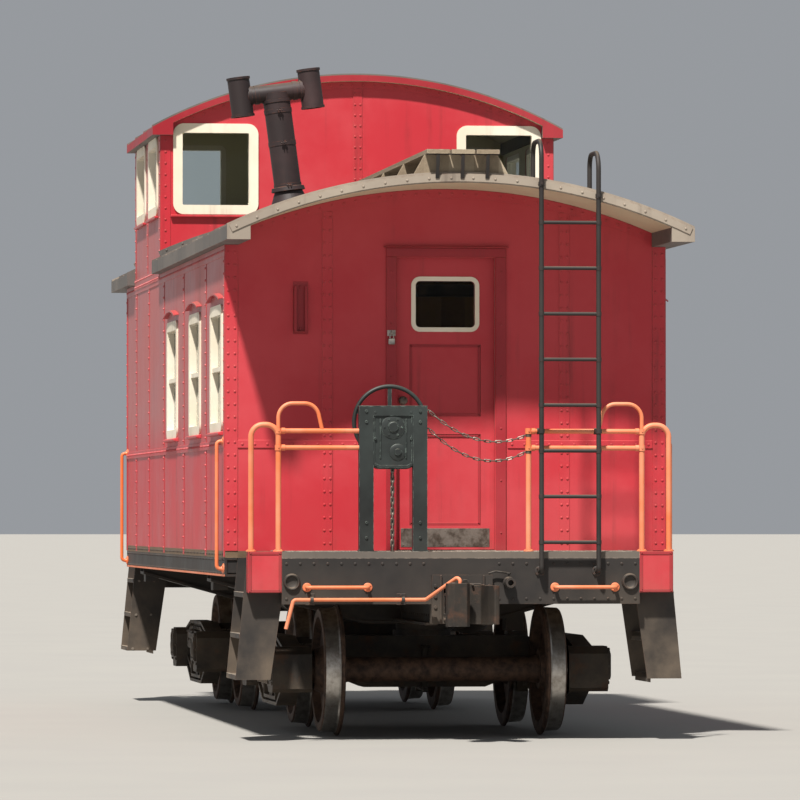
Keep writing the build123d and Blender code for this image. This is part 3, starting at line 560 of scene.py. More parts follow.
def makeWeathering():
    # dust thrown up from below, rain streaks, faded patches, sun on the sides and dirt on top
    s = aging
    names = ["Dust", "Streaks", "Patches", "Sun", "Settled", "Fine"]
    tree, start, end = newGroup("weathering", {"Foot": 0.2, "Head": 1.6, "Sunline": 2.0}, names)
    place = objectPlace(tree)
    height = addNode(tree, "SeparateXYZ", {0: place}).outputs["Z"]
    normal = addNode(tree, "SeparateXYZ", {0: addNode(tree, "NewGeometry").outputs["Normal"]})
    cloud = noiseOf(tree, s["cloud"], 6.0, place, 0.6)
    rising = spread(tree, height, start.outputs["Head"], start.outputs["Foot"])
    dust = times(tree, rising, spread(tree, cloud, *s["dustCloud"]), True)
    rain = noiseOf(tree, 1.0, 5.0, stretched(tree, place, s["rain"]), 0.62)
    streaks = times(tree, spread(tree, rain, *s["rainSpread"]), spread(tree, cloud, *s["rainCloud"]))
    patches = spread(tree, noiseOf(tree, s["patch"], 5.0, place, 0.65), *s["patchSpread"])
    low, high = s["sunEdge"]
    aboveLine = mathOf(tree, "SUBTRACT", height, start.outputs["Sunline"])
    above = addNode(tree, "MapRange", {"Value": aboveLine, "From Min": low, "From Max": high})
    sideways = mathOf(tree, "ABSOLUTE", normal.outputs["Y"])
    sun = times(tree, above.outputs[0], mathOf(tree, "POWER", sideways, s["sunPower"]), True)
    upward = spread(tree, normal.outputs["Z"], *s["upward"])
    settled = times(tree, upward, spread(tree, cloud, *s["settledCloud"]))
    for name, value in zip(names, (dust, streaks, patches, sun, settled, noiseOf(tree, s["fine"], 3.0, place))):
        tree.links.new(value, end.inputs[name])
    return tree


edgeWear = makeEdgeWear()
weathering = makeWeathering()


def useGroup(tree, group, **inputs):
    made = addNode(tree, "Group", node_tree=group)
    for key, value in inputs.items():
        made.inputs[key].default_value = value
    return made.outputs


def newLook(name, slot, metallic=0.0, specular=0.5):
    material = bpy.data.materials.new(name)
    material.use_nodes = True
    tree = material.node_tree
    shader = tree.nodes["Principled BSDF"]
    shader.inputs["Metallic"].default_value = metallic
    shader.inputs["Specular IOR Level"].default_value = specular
    looks[name], slots[name] = material, slot
    return tree, shader


def bumped(tree, shader, height, strength, distance):
    bump = addNode(tree, "Bump", {"Height": height, "Strength": strength, "Distance": distance})
    tree.links.new(bump.outputs[0], shader.inputs["Normal"])


def connected(tree, shader, colour, roughness):
    tree.links.new(colour, shader.inputs["Base Color"])
    tree.links.new(roughness, shader.inputs["Roughness"])


def blended(tree, colour, *coats):
    # lays one colour after another over the first, each by its mask
    for mask, code in coats:
        colour = mixed(tree, mask, colour, tone(code))
    return colour


film = {"patchDull": 0.22, "dustDull": 0.3, "chipDull": 0.3, "dentScale": 1.6, "fineDepth": 0.08,
        "chipDepth": 0.1, "bump": (0.35, 0.008)}


def paintedSteel(name, slot, look):
    # weathered paint on steel sheet: every painted finish, each with its own values
    s = film
    tree, shader = newLook(name, slot, specular=look["specular"])
    weather = useGroup(tree, weathering, Foot=look["dustFoot"], Head=look["dustHead"])
    worn = useGroup(tree, edgeWear, Width=look["edge"], Amount=look["chips"])
    colour = blended(
        tree, tone(look["paint"]),
        (portion(tree, weather["Patches"], look["fading"]), look["faded"]),
        (portion(tree, weather["Sun"], look["sun"]), look["bleached"]),
        (portion(tree, weather["Streaks"], look["streaks"]), look["grime"]),
        (portion(tree, weather["Settled"], look["settled"]), look["dust"]),
        (portion(tree, weather["Dust"], look["dusty"]), look["dust"]),
        (worn["Mask"], look["bare"]))
    dull = plus(tree, portion(tree, weather["Patches"], s["patchDull"]),
                portion(tree, weather["Dust"], s["dustDull"]))
    dull = plus(tree, dull, portion(tree, worn["Mask"], s["chipDull"]))
    connected(tree, shader, colour, plus(tree, dull, look["roughness"], True))
    dents = noiseOf(tree, s["dentScale"], 2.0, objectPlace(tree))
    relief = plus(tree, times(tree, weather["Fine"], s["fineDepth"]), times(tree, dents, look["dents"]))
    chips = times(tree, worn["Mask"], s["chipDepth"])
    bumped(tree, shader, mathOf(tree, "SUBTRACT", relief, chips), *s["bump"])


castSurface = {"metal": 0.35, "specular": 0.45, "dust": (0.1, 1.3), "edge": 0.009, "rust": 7.0,
               "rustSpread": (0.5, 0.72), "rustDull": 0.25, "grain": 90.0, "pits": 0.8, "bump": (0.5, 0.003)}


def castIron(name, slot, look):
    # a rough cast surface, grimy, with rust where it is knocked
    s = castSurface
    tree, shader = newLook(name, slot, s["metal"], s["specular"])
    weather = useGroup(tree, weathering, Foot=s["dust"][0], Head=s["dust"][1])
    worn = useGroup(tree, edgeWear, Width=s["edge"], Amount=look["chips"])
    rust = spread(tree, noiseOf(tree, s["rust"], 8.0, objectPlace(tree), 0.7), *s["rustSpread"])
    colour = blended(
        tree, tone(look["iron"]), (portion(tree, rust, look["rusty"]), look["rust"]),
        (portion(tree, weather["Dust"], look["dusty"]), look["dust"]),
        (portion(tree, weather["Settled"], look["dusty"]), look["dust"]),
        (worn["Mask"], look["bare"]))
    dull = portion(tree, rust, s["rustDull"])
    connected(tree, shader, colour, plus(tree, dull, look["roughness"], True))
    grain = noiseOf(tree, s["grain"], 4.0, objectPlace(tree), 0.7)
    bumped(tree, shader, plus(tree, grain, times(tree, weather["Patches"], s["pits"])), *s["bump"])


timber = {"specular": 0.3, "finer": 3.2, "dust": (0.5, 1.5), "edge": 0.008, "worn": 0.7, "ownTone": 0.45,
          "checkSpread": (0.6, 0.75), "checks": 0.6, "grainDull": 0.25, "fibres": 0.6, "bump": (0.5, 0.004)}


def boards(name, slot, look):
    # planks along the car, each board its own tone, with long grain and dark checks
    s = timber
    tree, shader = newLook(name, slot, specular=s["specular"])
    place = objectPlace(tree)
    across = addNode(tree, "SeparateXYZ", {0: place}).outputs["Y"]
    row = mathOf(tree, "DIVIDE", plus(tree, across, look["offset"]), look["board"])
    row = mathOf(tree, "FLOOR", row)
    ownTone = addNode(tree, "TexWhiteNoise", {"W": row}, noise_dimensions="1D").outputs["Value"]
    grain = noiseOf(tree, 1.0, 6.0, stretched(tree, place, look["grain"]), 0.65)
    finer = [s["finer"] * v for v in look["grain"]]
    fibres = noiseOf(tree, 1.0, 3.0, stretched(tree, place, finer), 0.7)
    weather = useGroup(tree, weathering, Foot=s["dust"][0], Head=s["dust"][1])
    worn = useGroup(tree, edgeWear, Width=s["edge"], Amount=s["worn"])
    colour = blended(
        tree, tone(look["wood"]), (grain, look["dark"]),
        (portion(tree, ownTone, s["ownTone"]), look["light"]),
        (portion(tree, spread(tree, fibres, *s["checkSpread"]), s["checks"]), look["dark"]),
        (portion(tree, weather["Settled"], look["dusty"]), look["dust"]),
        (worn["Mask"], look["light"]))
    dull = portion(tree, grain, s["grainDull"])
    connected(tree, shader, colour, plus(tree, dull, look["roughness"], True))
    bumped(tree, shader, plus(tree, grain, times(tree, fibres, s["fibres"])), *s["bump"])


millScale = {"scale": 16.0, "spread": (0.35, 0.7), "dull": 0.3, "grain": 120.0, "depth": 0.0015}


def bareSteel(name, slot, look):
    # unpainted steel: bright where it is rubbed, or brown with rust and brake dust
    s = millScale
    tree, shader = newLook(name, slot, metallic=look["metal"])
    place = objectPlace(tree)
    scale = noiseOf(tree, s["scale"], 7.0, place, 0.65)
    colour = blended(tree, tone(look["light"]), (spread(tree, scale, *s["spread"]), look["dark"]))
    dull = portion(tree, scale, s["dull"])
    connected(tree, shader, colour, plus(tree, dull, look["roughness"], True))
    bumped(tree, shader, noiseOf(tree, s["grain"], 4.0, place), look["bump"], s["depth"])


glass = {"tint": "EEF4F2", "ior": 1.15, "smears": 5.0, "smearSpread": (0.45, 0.8, 0.0, 0.12), "ripples": 3.0,
         "bump": (0.04, 0.002)}


def clearGlass():
    s = glass
    tree, shader = newLook("windowGlass", "window_glass")
    shader.inputs["Base Color"].default_value = tone(s["tint"])
    shader.inputs["Transmission Weight"].default_value = 1.0
    shader.inputs["IOR"].default_value = s["ior"]
    place = objectPlace(tree)
    smears = spread(tree, noiseOf(tree, s["smears"], 6.0, place, 0.7), *s["smearSpread"])
    tree.links.new(smears, shader.inputs["Roughness"])
    bumped(tree, shader, noiseOf(tree, s["ripples"], 1.0, place), *s["bump"])


leather = {"hide": "3A2417", "rubbed": "6B4630", "crease": "1E120B", "cells": 260.0, "creases": 12.0,
           "rubbedSpread": (0.45, 0.7), "creaseSpread": (0.55, 0.75), "cellDepth": 0.25,
           "shine": (0.2, 0.8, 0.38, 0.62), "bump": (0.5, 0.003)}


def wornLeather():
    s = leather
    tree, shader = newLook("seatLeather", "seat_leather", specular=0.45)
    place = objectPlace(tree)
    cells = addNode(tree, "TexVoronoi", {"Vector": place, "Scale": s["cells"]})
    creases = noiseOf(tree, s["creases"], 6.0, stretched(tree, place, (1.0, 2.2, 1.0)), 0.7)
    rubbed = spread(tree, noiseOf(tree, 4.0, 4.0, place), *s["rubbedSpread"])
    colour = blended(
        tree, tone(s["hide"]), (rubbed, s["rubbed"]),
        (portion(tree, spread(tree, creases, *s["creaseSpread"]), 0.5), s["crease"]))
    connected(tree, shader, colour, spread(tree, creases, *s["shine"]))
    relief = plus(tree, times(tree, cells.outputs["Distance"], s["cellDepth"]), creases)
    bumped(tree, shader, relief, *s["bump"])


# What every painted finish starts from, and then each finish's own values
roadWorn = {
    "dust": "8C7B68", "grime": "3B2A25", "bare": "6B4A3A", "bleached": "BE6B68", "dustFoot": 0.3,
    "dustHead": 1.75, "specular": 0.4, "edge": 0.006, "sun": 0.0, "fading": 0.6, "streaks": 0.3,
    "settled": 0.3, "dusty": 0.1, "chips": 0.6, "roughness": 0.42, "dents": 0.2,
}
paints = {
    "bodyRed": ("body_red", dict(
        paint="B62D37", faded="C2474E", sun=0.72, bleached="A66A68", streaks=0.42, settled=0.35, dusty=0.34,
        chips=0.5, roughness=0.34, dents=1.0)),
    # a darker red: the trims' own paint, and painted shade on the cupola roof's verge
    "trimAndShadeRed": ("body_red", dict(
        paint="93202A", faded="A8343C", streaks=0.4, dusty=0.3, roughness=0.38)),
    "roofGrey": ("roof_grey", dict(
        paint="5A5653", faded="77706A", fading=0.8, streaks=0.55, settled=0.4, dusty=0.0, chips=0.7,
        roughness=0.62, dents=1.4, grime="2A2523", bare="8A6A55")),
    # a lighter tan for the main roof's end edges: painted highlight where those edges catch the light
    "edgeHighlightTan": ("roof_grey", dict(
        paint="8E8377", faded="A89C8D", fading=0.8, streaks=0.5, settled=0.2, dusty=0.0, roughness=0.6)),
    "deckGrey": ("deck_grey", dict(
        paint="55504C", faded="6E655C", fading=0.8, settled=0.5, dusty=0.4, chips=0.9, roughness=0.62,
        bare="A69C90")),
    "railOrange": ("rail_orange", dict(
        paint="D66A38", faded="E2987A", fading=0.75, settled=0.1, dusty=0.15, roughness=0.36, edge=0.004)),
    "frameBlack": ("frame_black", dict(
        paint="1F1D1D", faded="35302D", fading=0.7, streaks=0.4, settled=0.45, dusty=0.5, roughness=0.5,
        dustHead=1.3)),
    "brakeBlack": ("frame_black", dict(
        paint="191B1B", faded="343D3B", fading=0.7, settled=0.35, chips=0.7, bare="7E8B84")),
    "sashCream": ("sash_cream", dict(
        paint="DCD2BC", faded="F0E8DA", streaks=0.4, settled=0.2, chips=0.5, edge=0.004)),
    "jackBlack": ("jack_black", dict(
        paint="281F20", faded="4E3536", fading=0.8, streaks=0.5, dusty=0.0, chips=0.8, roughness=0.55,
        bare="7A4A38")),
    "cabinGreen": ("cabin_green", dict(
        paint="5E7263", faded="74866F", fading=0.5, streaks=0.15, settled=0.2, dusty=0.0, chips=0.5,
        roughness=0.45)),
    "cabinCream": ("body_red", dict(
        paint="C9BF9F", faded="D8CFB4", fading=0.5, streaks=0.2, settled=0.1, dusty=0.0, chips=0.3,
        roughness=0.5)),
}
planks = {
    "plankGrey": ("plank", dict(
        board=0.165, offset=0.0825, grain=(1.6, 38.0, 38.0), wood="9A8A74", dark="5C4E40", light="C4B79F",
        dusty=0.2, dust="A39A8C", roughness=0.62)),
    "floorBoards": ("deck_grey", dict(
        board=0.14, offset=0.0, grain=(1.8, 30.0, 30.0), wood="6D5844", dark="3B2E24", light="8D7860",
        dusty=0.5, dust="7F7466", roughness=0.55)),
    "benchWood": ("bench_wood", dict(
        board=0.18, offset=0.0, grain=(2.2, 26.0, 26.0), wood="7C4E2A", dark="47290F", light="9A6A40",
        dusty=0.1, dust="8B7D6B", roughness=0.36)),
}
castings = {
    "truckIron": ("truck_black", dict(
        iron="262321", rust="5B3B2A", rusty=0.7, dusty=0.55, dust="7C6C5A", bare="6E6A66", chips=0.5,
        roughness=0.58)),
    "stoveIron": ("stove_iron", dict(
        iron="1B1A1A", rust="3E2A20", rusty=0.4, dusty=0.1, dust="6C6258", bare="55504C", chips=0.5,
        roughness=0.5)),
}
steels = {
    "wheelRust": ("wheel_steel", dict(
        metal=0.2, light="5A4335", dark="2E221C", roughness=0.6, bump=0.6)),
    "wheelBright": ("wheel_steel", dict(
        metal=0.95, light="B9B4AE", dark="8D867E", roughness=0.24, bump=0.15)),
    "boltSteel": ("wheel_steel", dict(
        metal=0.8, light="8A8078", dark="4E433B", roughness=0.42, bump=0.3)),
}

for name, (slot, look) in paints.items():
    paintedSteel(name, slot, {**roadWorn, **look})
for maker, table in ((castIron, castings), (boards, planks), (bareSteel, steels)):
    for name, (slot, look) in table.items():
        maker(name, slot, look)
clearGlass()
wornLeather()
print("materials made:", len(looks))

nodesOfLook = {
    "frameBlack": ["centre_sill", "side_sills", "floor_beams", "body_bolsters", "brake_gear", "train_pipe",
                   "steps", "end_sill", "ladder"],
    "railOrange": ["uncoupling_lever", "end_grabs", "side_grabs", "railing"],
    "brakeBlack": ["hand_brake"],
    "floorBoards": ["floor"],
    "deckGrey": ["platform"],
    "bodyRed": ["side_wall_left", "side_wall_right", "end_wall", "cupola_side_left", "cupola_side_right",
                "cupola_end", "step_panels", "door"],
    "roofGrey": ["main_roof", "cupola_roof"],
    "sashCream": ["window_frames"],
    "windowGlass": ["window_panes", "door_pane"],
    "plankGrey": ["running_boards"],
    "jackBlack": ["smoke_jack"],
    "stoveIron": ["stove"],
    "benchWood": ["benches"],
    "cabinGreen": ["lockers", "cupola_seats"],
    "truckIron": ["truck_bolster", "side_frames", "leaf_springs", "brake_beams", "coupler"],
}
nodeLooks = {node: look for look, nodes in nodesOfLook.items() for node in nodes}
# Where a node has a second finish: a face's direction, and how far in from the outside it starts
second = {"flat": 0.9, "skin": 0.05, "ceiling": -0.3, "eaves": 0.1, "verge": 0.005, "doorTrim": 0.0005}
wheelLooks = {"treadFrom": 0.4, "treadTo": 0.43, "treadFlat": 0.6, "journal": 0.072, "journalFrom": 0.9}


def lookOfFaces(node, look, belongs):
    # gives some faces of a node a second finish, picked by their place and direction
    mesh = frame["nodes"][node].data
    mesh.materials.append(looks[look])
    index = len(mesh.materials) - 1
    for face in mesh.polygons:
        if belongs(face.center, face.normal):
            face.material_index = index


def dressNodes():
    for name, piece in frame["nodes"].items():
        plain = name.removesuffix("_near").removesuffix("_far")
        piece.data.materials.clear()
        piece.data.materials.append(looks[nodeLooks.get(name, nodeLooks.get(plain, "wheelRust"))])
    s = second
    flat, inner, end = s["flat"], bodySide - s["skin"], bodyEnd - s["skin"]
    for side, hand in (("left", -1), ("right", 1)):
        for node in (f"side_wall_{side}", f"cupola_side_{side}"):
            lookOfFaces(node, "cabinCream", lambda c, n: n.y * hand < -flat and c.y * hand < inner)
    for where, hand in (("near", 1), ("far", -1)):
        lookOfFaces(f"end_wall_{where}", "cabinCream", lambda c, n: n.x * hand < -flat and c.x * hand < end)
        for node in (f"cupola_end_{where}", f"door_{where}"):
            lookOfFaces(node, "cabinCream", lambda c, n: n.x * hand < -flat)
        lookOfFaces(f"door_{where}", "sashCream", lambda c, n: c.x * hand > leafFace + s["doorTrim"])
    under = bodySide - s["eaves"]
    lookOfFaces("main_roof", "cabinCream", lambda c, n: (
        n.z < s["ceiling"] and abs(c.y) < under and abs(c.x) < bodyEnd))
    # the main roof's end faces in the lighter tan: painted highlight
    lookOfFaces("main_roof", "edgeHighlightTan", lambda c, n: abs(n.x) > flat and abs(c.x) > bodyEnd)
    lookOfFaces("cupola_roof", "cabinCream", lambda c, n: n.z < s["ceiling"] and abs(c.y) < under)
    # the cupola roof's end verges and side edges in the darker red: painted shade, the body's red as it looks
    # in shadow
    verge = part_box("cupola_roof")[1].x - cupolaMiddle - s["verge"]
    lookOfFaces("cupola_roof", "trimAndShadeRed", lambda c, n: (
        abs(n.x) > flat and abs(c.x - cupolaMiddle) > verge) or (abs(n.y) > flat and abs(c.y) > bodySide))
    w = wheelLooks
    for number in range(1, 5):
        at = jointAt[f"axle_{number}_roll"]
        lookOfFaces(f"wheelset_{number}", "wheelBright", lambda c, n: (
            w["treadFrom"] < math.hypot(c.x - at.x, c.z - at.z) < w["treadTo"] and abs(n.y) < w["treadFlat"])
            or (abs(c.y) > w["journalFrom"] and math.hypot(c.x - at.x, c.z - at.z) < w["journal"]))


leaf = {"trim": 0.008, "thick": 0.045}
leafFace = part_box("door_near")[1].x - leaf["trim"]  # the door leaf's outer face, behind its window trim
leafInner = leafFace - leaf["thick"]
dressNodes()
print("nodes dressed:", len(frame["nodes"]))


# Sides of the body

sides = {
    "seams": (-3.04, -1.9, -0.62, 0.97, 2.62), "seamWidth": 0.075, "proud": 0.004, "rivetInset": 0.021,
    "lap": 0.04, "beltFoot": 1.93, "beltHead": 1.985, "beltProud": 0.007, "cornerWidth": 0.07,
    "letterboard": 0.075, "sillRows": (1.222, 1.185, 1.095), "sillSpacing": 0.11, "rustyLitEdge": 0.014,
}


def bodySides():
    s = sides
    out, face = (0, -1, 0), -bodySide
    skin, belt = face - s["proud"], face - s["beltProud"]
    foot, boardFoot = floorTop - s["lap"], soffit - s["letterboard"]
    parts, heads = [], []
    for x in s["seams"]:
        low, high = x - s["seamWidth"] / 2, x + s["seamWidth"] / 2
        parts += [block((low, skin, foot), (high, face, boardFoot), sheetEdge)]
        for dx in (-s["rivetInset"], s["rivetInset"]):
            for low, high in ((floorTop, s["beltFoot"] - 0.02), (s["beltHead"] + 0.03, boardFoot - 0.03)):
                heads += [rivetRow((x + dx, skin, low), (x + dx, skin, high), out)]
    for hand in (-1, 1):
        low, high = sorted((hand * (bodyEnd - s["cornerWidth"]), hand * bodyEnd))
        parts += [block((low, skin - 0.002, foot), (high, face, boardFoot), sheetEdge)]
        x = (low + high) / 2
        heads += [rivetRow((x, skin - 0.002, 2.1), (x, skin - 0.002, soffit - 0.11), out)]
    parts += [block((-bodyEnd, belt, s["beltFoot"]), (bodyEnd, face, s["beltHead"]))]
    parts += [block((-bodyEnd, skin - 0.001, boardFoot), (bodyEnd, face, soffit), sheetEdge)]
    beltMiddle, boardMiddle = (s["beltFoot"] + s["beltHead"]) / 2, (boardFoot + soffit) / 2
    for y, z, inset in ((belt, beltMiddle, 0.12), (skin - 0.001, boardMiddle, 0.04)):
        heads += [rivetRow((-bodyEnd + inset, y, z), (bodyEnd - inset, y, z), out)]
    onBothSides("sideSeams", parts + heads, "bodyRed")
    end = bodyEnd - 0.05
    sill = [rivetRow((-end, face, z), (end, face, z), out, s["sillSpacing"]) for z in s["sillRows"]]
    end = bodyEnd - 0.01
    # an orange strip along each side's foot: the sill flange's rusty edge, lightened as a painted highlight
    # where the sun catches it
    rustyLitEdge = block((-end, face - 0.003, sillFoot), (end, face, sillFoot + s["rustyLitEdge"]), thinEdge)
    finished("sillRivets", bothSides(sill), "frameBlack")
    finished("sillRustyLitEdge", bothSides([rustyLitEdge]), "railOrange")


windowTrim = {
    "places": (3.4, 1.85, 0.1), "head": 2.8654, "foot": 2.0354, "hoodWidth": 0.92, "hoodRise": 0.045,
    "hoodUp": 0.07, "hoodReach": 0.038, "sillWidth": 0.86, "sillReach": 0.036,
}


def windowHoods():
    # a bent rain strip over each body window and a sloped sill under it
    s = windowTrim
    half, rise, x = s["hoodWidth"] / 2, s["hoodRise"], s["places"][0]
    radius = (half**2 + rise**2) / (2 * rise)
    crest = s["head"] + rise + s["hoodUp"]
    wall, lip = -bodySide + 0.001, -bodySide - s["hoodReach"]
    drop = [(wall, 0), (lip, 0.006), (lip, 0.016), (lip + 0.004, 0.016), (lip + 0.004, 0.01), (wall, 0.004)]
    section = [(x, y, crest - below) for y, below in drop]
    mirror = Matrix.Translation((2 * x, 0, 0)) @ lengthMirror
    hood = bentOver(section, (x, 0, crest - radius), yAxis, math.asin(half / radius), mirror, 10)
    front = -bodySide - s["sillReach"]
    slope = [(wall, 0.012), (front, 0), (front, -0.014), (wall, -0.02)]
    sill = drawn([(x - s["sillWidth"] / 2, y, s["foot"] + z) for y, z in slope], "face")
    editAll(sill)
    bpy.ops.mesh.extrude_region_move(TRANSFORM_OT_translate={"value": (s["sillWidth"], 0, 0)})
    closeUp(merge=False)
    eased(sill, 0.003, 1)
    model = gathered([hood, sill])
    others = [movedCopy(model, place - x, 0, 0) for place in s["places"][1:]]
    finished("windowHoods", bothSides([model] + others), "bodyRed")


grabFeet = {"bar": 0.0125, "foot": 0.036, "boltRing": 0.025}


def sideGrabFeet():
    # bolted feet of the handholds on the body's sides
    s = grabFeet
    low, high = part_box("side_grabs")
    parts = []
    for z in (low.z + s["bar"], high.z - s["bar"]):
        parts += footFlange((high.x - s["bar"], -bodySide, z), (0, -1, 0), s["foot"], s["boltRing"], 2)
    corners = bothSides(parts)
    finished("sideGrabFeet", withTwins(corners, lengthMirror), "railOrange")


bodySides()
windowHoods()
sideGrabFeet()
print("sides done")


# Ends of the body

endWall = {
    "corner": 0.085, "proud": 0.005, "beltFoot": 1.93, "beltHead": 1.985, "beltProud": 0.007, "beltFrom": 0.415,
    "seam": 0.80, "seamWidth": 0.07, "rivetInset": 0.02, "archWidth": 0.06, "casing": (0.335, 0.405),
    "casingProud": 0.012, "headFoot": 3.2104, "headTop": 3.2704, "capReach": 0.035,
    "holderAt": -0.98, "holderFoot": 2.69, "holderHead": 3.04, "hasp": (-0.37, 2.70),
}


def endWallTrim():
    s = endWall
    out = xAxis
    face, skin, belt = bodyEnd, bodyEnd + s["proud"], bodyEnd + s["beltProud"]
    inner, seamHalf = bodySide - s["corner"], s["seamWidth"] / 2
    lift = -sheet["roof"] - s["archWidth"] - 0.002
    top = heightOnArc(mainArc, s["seam"], lift)
    parts, heads = [], []
    for hand in (-1, 1):
        low, high = sorted((hand * inner, hand * bodySide))
        parts += [block((face, low, floorTop), (skin, high, soffit), sheetEdge)]
        for y in (inner + s["rivetInset"], bodySide - s["rivetInset"]):
            heads += [rivetRow((skin, hand * y, floorTop + 0.05), (skin, hand * y, soffit - 0.05), out)]
        seam = hand * s["seam"]
        parts += [block((face, seam - seamHalf, floorTop), (skin, seam + seamHalf, top), sheetEdge)]
        for y in (seam - s["rivetInset"], seam + s["rivetInset"]):
            for low, high in ((floorTop + 0.05, s["beltFoot"] - 0.03), (s["beltHead"] + 0.03, top - 0.04)):
                heads += [rivetRow((skin, y, low), (skin, y, high), out)]
        low, high = sorted((hand * s["beltFrom"], hand * inner))
        parts += [block((face, low, s["beltFoot"]), (belt, high, s["beltHead"]))]
        z = (s["beltFoot"] + s["beltHead"]) / 2
        heads += [rivetRow((belt, low + 0.03, z), (belt, high - 0.03, z), out)]
    parts += [archStrip(mainArc, face + s["proud"] / 2, s["proud"], s["archWidth"], inner - 0.01, lift)]
    heads += [rivetArc(mainArc, skin, inner - 0.05, out, lift + s["archWidth"] / 2, rivet["spacing"])]
    atBothEnds("endSeams", parts + heads, "bodyRed")


def doorCasing():
    # casing, drip cap and threshold, with the casing's screws
    s = endWall
    near, far = s["casing"]
    proud, foot, top = bodyEnd + s["casingProud"], s["headFoot"], s["headTop"]
    jamb = block((bodyEnd, near, floorTop), (proud, far, foot))
    lintel = block((bodyEnd, -far, foot), (proud, far, top))
    cap = block((bodyEnd, -far - 0.015, top), (bodyEnd + s["capReach"], far + 0.015, top + 0.01))
    y = (near + far) / 2
    screws = rivetRow((proud, y, floorTop + 0.12), (proud, y, foot - 0.1), xAxis, 0.38, 0.8)
    atBothEnds("doorCasing", bothSides([jamb, screws]) + [lintel, cap], "trimAndShadeRed")
    half = near - 0.008
    sill = block((leafFace + 0.012, -half, floorTop), (bodyEnd + 0.07, half, floorTop + 0.0044), sheetEdge)
    half = near - 0.02
    ridge = block((bodyEnd, -half, floorTop + 0.004), (bodyEnd + 0.006, half, floorTop + 0.0046), 0)
    atBothEnds("doorThreshold", [sill, arrayed(ridge, (0.012, 0, 0), 5)], "boltSteel")


def cardHolder():
    # two upright guides on a back plate, for a route card or lamp
    s = endWall
    x, y, foot, head = bodyEnd, s["holderAt"], s["holderFoot"], s["holderHead"]
    back = block((x, y - 0.05, foot), (x + 0.004, y + 0.05, head), thinEdge)
    guide = [(0, 0), (0.026, 0), (0.026, 0.018), (0.021, 0.018), (0.021, 0.005), (0, 0.005)]
    rail = plate(guide, head - foot - 0.05, Matrix.Translation((x + 0.003, y - 0.045, foot + 0.02)), 0.001)
    about = Matrix.Translation((0, 2 * y, 0)) @ acrossMirror
    parts = [pressed(back, xAxis, 0.022, 0.002)] + withTwins([rail], about)
    parts += [block((x + 0.002, y - 0.045, foot + 0.012), (x + 0.029, y + 0.045, foot + 0.02), sheetEdge)]
    parts += boltsAt([(x + 0.004, y, foot + 0.035), (x + 0.004, y, head - 0.035)], xAxis, 0.6)
    atBothEnds("cardHolder", parts, "trimAndShadeRed")


def keyhole(radius, place, steps):
    # a small raised disc with a sloped rim
    return lathe([(0, 0.002), (radius, 0.002), (radius * 1.2, 0), (0, 0)], place, xAxis, steps)


def haspAndLock():
    s = endWall
    y, z = s["hasp"]
    x = bodyEnd + s["casingProud"]
    strap = chunk((x + 0.0015, y, z), (0.003, 0.056, 0.04), thinEdge)
    reach, high, low = x + 0.022, z + 0.012, z - 0.012
    staple = bentBar([(x, y, high), (reach, y, high), (reach, y, low), (x, y, low)], 0.004, 0.008)
    x0, left, right, high, low = x + 0.016, y - 0.012, y + 0.012, z - 0.002, z - 0.04
    shackle = bentBar([(x0, left, low), (x0, left, high), (x0, right, high), (x0, right, low)], 0.0038, 0.011)
    body = block((x + 0.006, y - 0.022, z - 0.078), (x + 0.026, y + 0.022, z - 0.036), castEdge)
    body = pressed(body, xAxis, 0.006, 0.0015)
    screws = boltsAt([(x + 0.003, y - 0.02, z), (x + 0.003, y + 0.02, z)], xAxis, 0.3)
    keyway = keyhole(0.005, (x + 0.025, y, z - 0.06), 12)
    atBothEnds("haspAndLock", [strap, staple, shackle, body, keyway] + screws, "wheelBright")


doorTrim = {
    "panelWidth": 0.478, "panels": ((0.17, 0.78), (0.90, 1.38)), "recess": 0.01, "bead": 0.016,
    "kickFoot": 0.025, "kickHead": 0.15, "kickHalf": 0.3, "knobAt": -0.285, "knobUp": 1.0046, "keyDrop": 0.06,
    "hinges": (0.25, 1.0, 1.75), "leafScrews": 0.3135, "wallScrews": 0.3865, "plate": 0.004,
    "screwPlaces": ((-0.012, -0.038), (0.012, 0), (-0.012, 0.038)),
}


